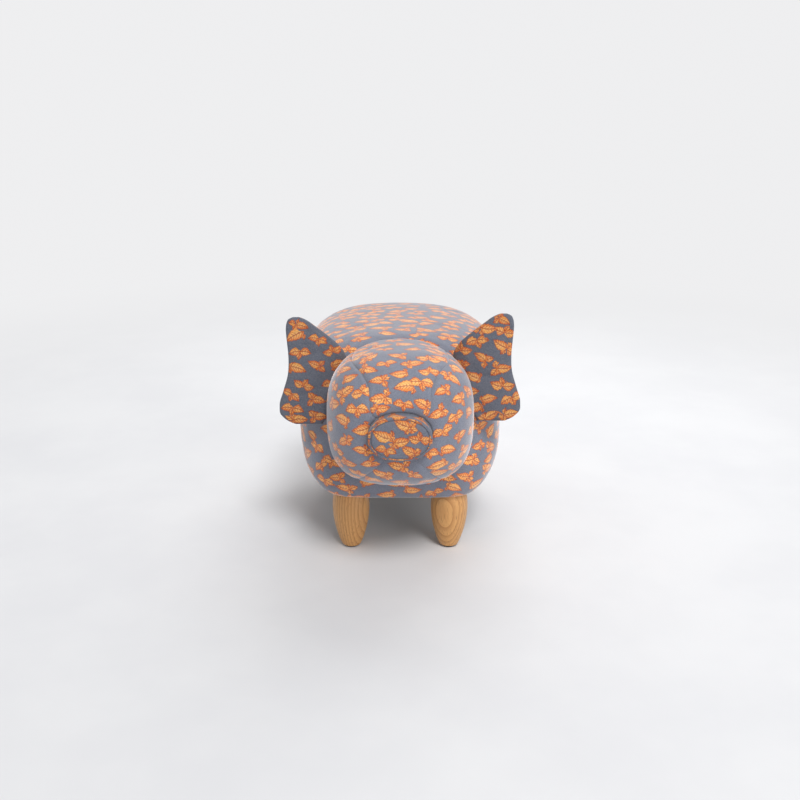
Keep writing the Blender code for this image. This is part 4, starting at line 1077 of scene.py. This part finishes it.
def leg_profile(bottom, top):
    """Radii and heights up a leg: an eased foot, a long swell, and a slight narrowing under the body."""
    foot, widest, neck, ease, widest_share, roundness = 0.016, 0.030, 0.0265, 0.003, 0.72, 0.82
    bevel = 0.001
    swell = bottom + (top - bottom) * widest_share
    quarter = math.pi / 2
    profile = [(foot - ease * (1 - math.sin(angle)), bottom + ease * (1 - math.cos(angle)))
               for angle in np.linspace(0, quarter, 7)]
    for share in np.arange(1, 25) / 24:
        height = bottom + ease + (swell - bottom - ease) * share
        profile.append((foot + (widest - foot) * math.sin(share * quarter) ** roundness, height))
    for share in np.arange(1, 13) / 12:
        profile.append((widest - (widest - neck) * share ** 2, swell + (top - bevel - swell) * share))
    return profile + [(neck - bevel, top)]


def make_legs(materials):
    """Turned legs that swell above the middle, with eased edges at the foot and the top. Each is turned
    about its own axis, so that the grain runs differently on every one."""
    sides = 64
    angles = np.arange(sides) * 2 * math.pi / sides
    for place, turn in (("front_left", 172), ("front_right", 80), ("rear_left", 215), ("rear_right", 20)):
        low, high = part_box("leg_" + place)
        profile = leg_profile(low.z, high.z)
        vertices = [(radius * math.cos(angle), radius * math.sin(angle), z)
                    for radius, z in profile for angle in angles]
        item = build_mesh("turned_leg_" + place, vertices, closed_faces(len(profile), sides))
        item.data.set_sharp_from_angle(angle=math.radians(38))
        item.location = (low + high) / 2 * Vector((1, 1, 0))
        item.rotation_euler = (0, 0, math.radians(turn))
        dress(item, "oiled_hardwood", materials, "leg_" + place)


def make_staples(materials):
    """Wire staples that hold the dust cover's edge to the base board."""
    count, half_length, half_width, inset, ahead, wire = 44, 0.005, 0.0005, 0.005, 0.01, (-0.0004, 0.0006)
    low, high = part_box("dust_cover")
    sizes = ((high.x - low.x) / 2 - inset, (high.y - low.y) / 2 - inset)
    vertices, faces = [], []
    for angle in (np.arange(count) + 0.5) * 2 * math.pi / count:
        middle, after = (Vector(body_ring(turned, *sizes, BASE_PLAN_POWER, low.z + wire[0]))
                         for turned in (angle, angle + ahead))
        along = (after - middle).normalized()
        aside = along.cross(Vector((0, 0, 1))) * half_width
        start = len(vertices)
        for z in wire:
            for way, turn in ((-1, -1), (1, -1), (1, 1), (-1, 1)):
                vertices.append(tuple(middle + along * half_length * way + aside * turn + Vector((0, 0, z))))
        for ring in ((3, 2, 1, 0), (4, 5, 6, 7), (0, 1, 5, 4), (1, 2, 6, 5), (2, 3, 7, 6), (3, 0, 4, 7)):
            faces.append([start + corner for corner in ring])
    dress(build_mesh("staples", vertices, faces), "zinc_steel", materials)


def dress_solids(materials):
    """Carried over solids keep their shape and take the materials of their slots."""
    slots = {entry["node"]: entry["material_slot"] for entry in frame["record"]["subparts"]}
    for name, item in frame["nodes"].items():
        item.data.materials.clear()
        item.data.materials.append(materials[slots[name]])


def make_camera():
    data = bpy.data.cameras.new("photo_camera")
    data.sensor_width = SENSOR
    data.lens = FOCAL_PIXELS / FRAME_PIXELS * SENSOR
    camera = add_object("photo_camera", data)
    camera.location = CAMERA_PLACE
    camera.rotation_euler = (math.pi / 2 - CAMERA_PITCH, 0, 0)
    bpy.context.scene.camera = camera


def add_lamp(name, kind, energy, towards):
    """A lamp that shines from the given direction."""
    data = bpy.data.lights.new(name, kind)
    data.energy = energy
    lamp = add_object(name, data)
    lamp.rotation_euler = Vector(towards).to_track_quat("Z", "Y").to_euler()
    return lamp


def show_backdrop(graph, kind, share=1.0):
    """Let rays that come straight from the camera, or by way of a glossy surface, see the backdrop's colour
    instead of the shader, as far as the share says."""
    rays = graph.node("LightPath", {}).socket.node.outputs
    direct = graph.math("MAXIMUM", *(Value(graph, rays[f"Is {name} Ray"]) for name in ("Camera", "Glossy")))
    output = graph.shader.outputs[0].links[0].to_socket
    inputs = {0: direct * share, 1: Value(graph, graph.shader.outputs[0]),
              2: graph.node(kind, {"Color": BACKDROP_COLOUR})}
    graph.feed(output, graph.node("MixShader", inputs))


def make_floor():
    """A pale floor that takes the stool's shadow and fades into the backdrop further off."""
    graph = Graph(bpy.data.materials.new("studio_floor"))
    place = graph.place()
    colour = graph.mix(graph.ramp(graph.noise(place, 3.0, 4.0, 0.6), 0.3, 0.7), FLOOR_SHADE, FLOOR_COLOUR)
    x, y, _ = graph.split(place)
    radius = graph.math("SQRT", x ** 2.0 + y ** 2.0)
    show_backdrop(graph, "Emission", graph.ramp(radius, FADE_START, FADE_END))
    corners = [(x * FLOOR_HALF, y * FLOOR_HALF, 0) for x, y in ((-1, -1), (1, -1), (1, 1), (-1, 1))]
    floor = build_mesh("floor", corners, [[0, 1, 2, 3]])
    floor.data.materials.append(graph.finish(colour, 0.7, Specular_IOR_Level=0.25))


def make_studio():
    """A broad sun above and in front, a lamp high behind, one low at the front right, and a pale surround."""
    world = bpy.data.worlds.new("studio")
    bpy.context.scene.world = world
    graph = Graph(world)
    graph.feed(graph.shader.inputs["Color"], (1.0, 1.0, 1.0))
    graph.feed(graph.shader.inputs["Strength"], WORLD_LIGHT)
    show_backdrop(graph, "Background")
    add_lamp("overhead", "SUN", 1.78, (0.24, -0.75, 1.0)).data.angle = math.radians(18)
    for name, place, power in (("rear_key", (0.4, 1.0, 1.8), 18), ("side_fill", (1.5, -1.8, 1.0), 13)):
        lamp = add_lamp(name, "AREA", power, Vector(place) - Vector((0, 0, 0.2)))
        lamp.location = place
        lamp.data.shape = "SQUARE"
        lamp.data.size = 1.4
    bpy.context.scene.view_settings.view_transform = "Standard"


def main():
    make_camera()
    materials = make_materials()
    dress_solids(materials)
    make_body(materials)
    make_head(materials)
    make_snout(materials)
    joints = {joint["name"]: joint for joint in frame["joints"]}
    for side, sign in (("left", -1), ("right", 1)):
        make_ear(side, sign, joints[f"ear_{side}_bend"], materials)
    make_tail(materials)
    make_legs(materials)
    make_staples(materials)
    make_floor()
    make_studio()


main()
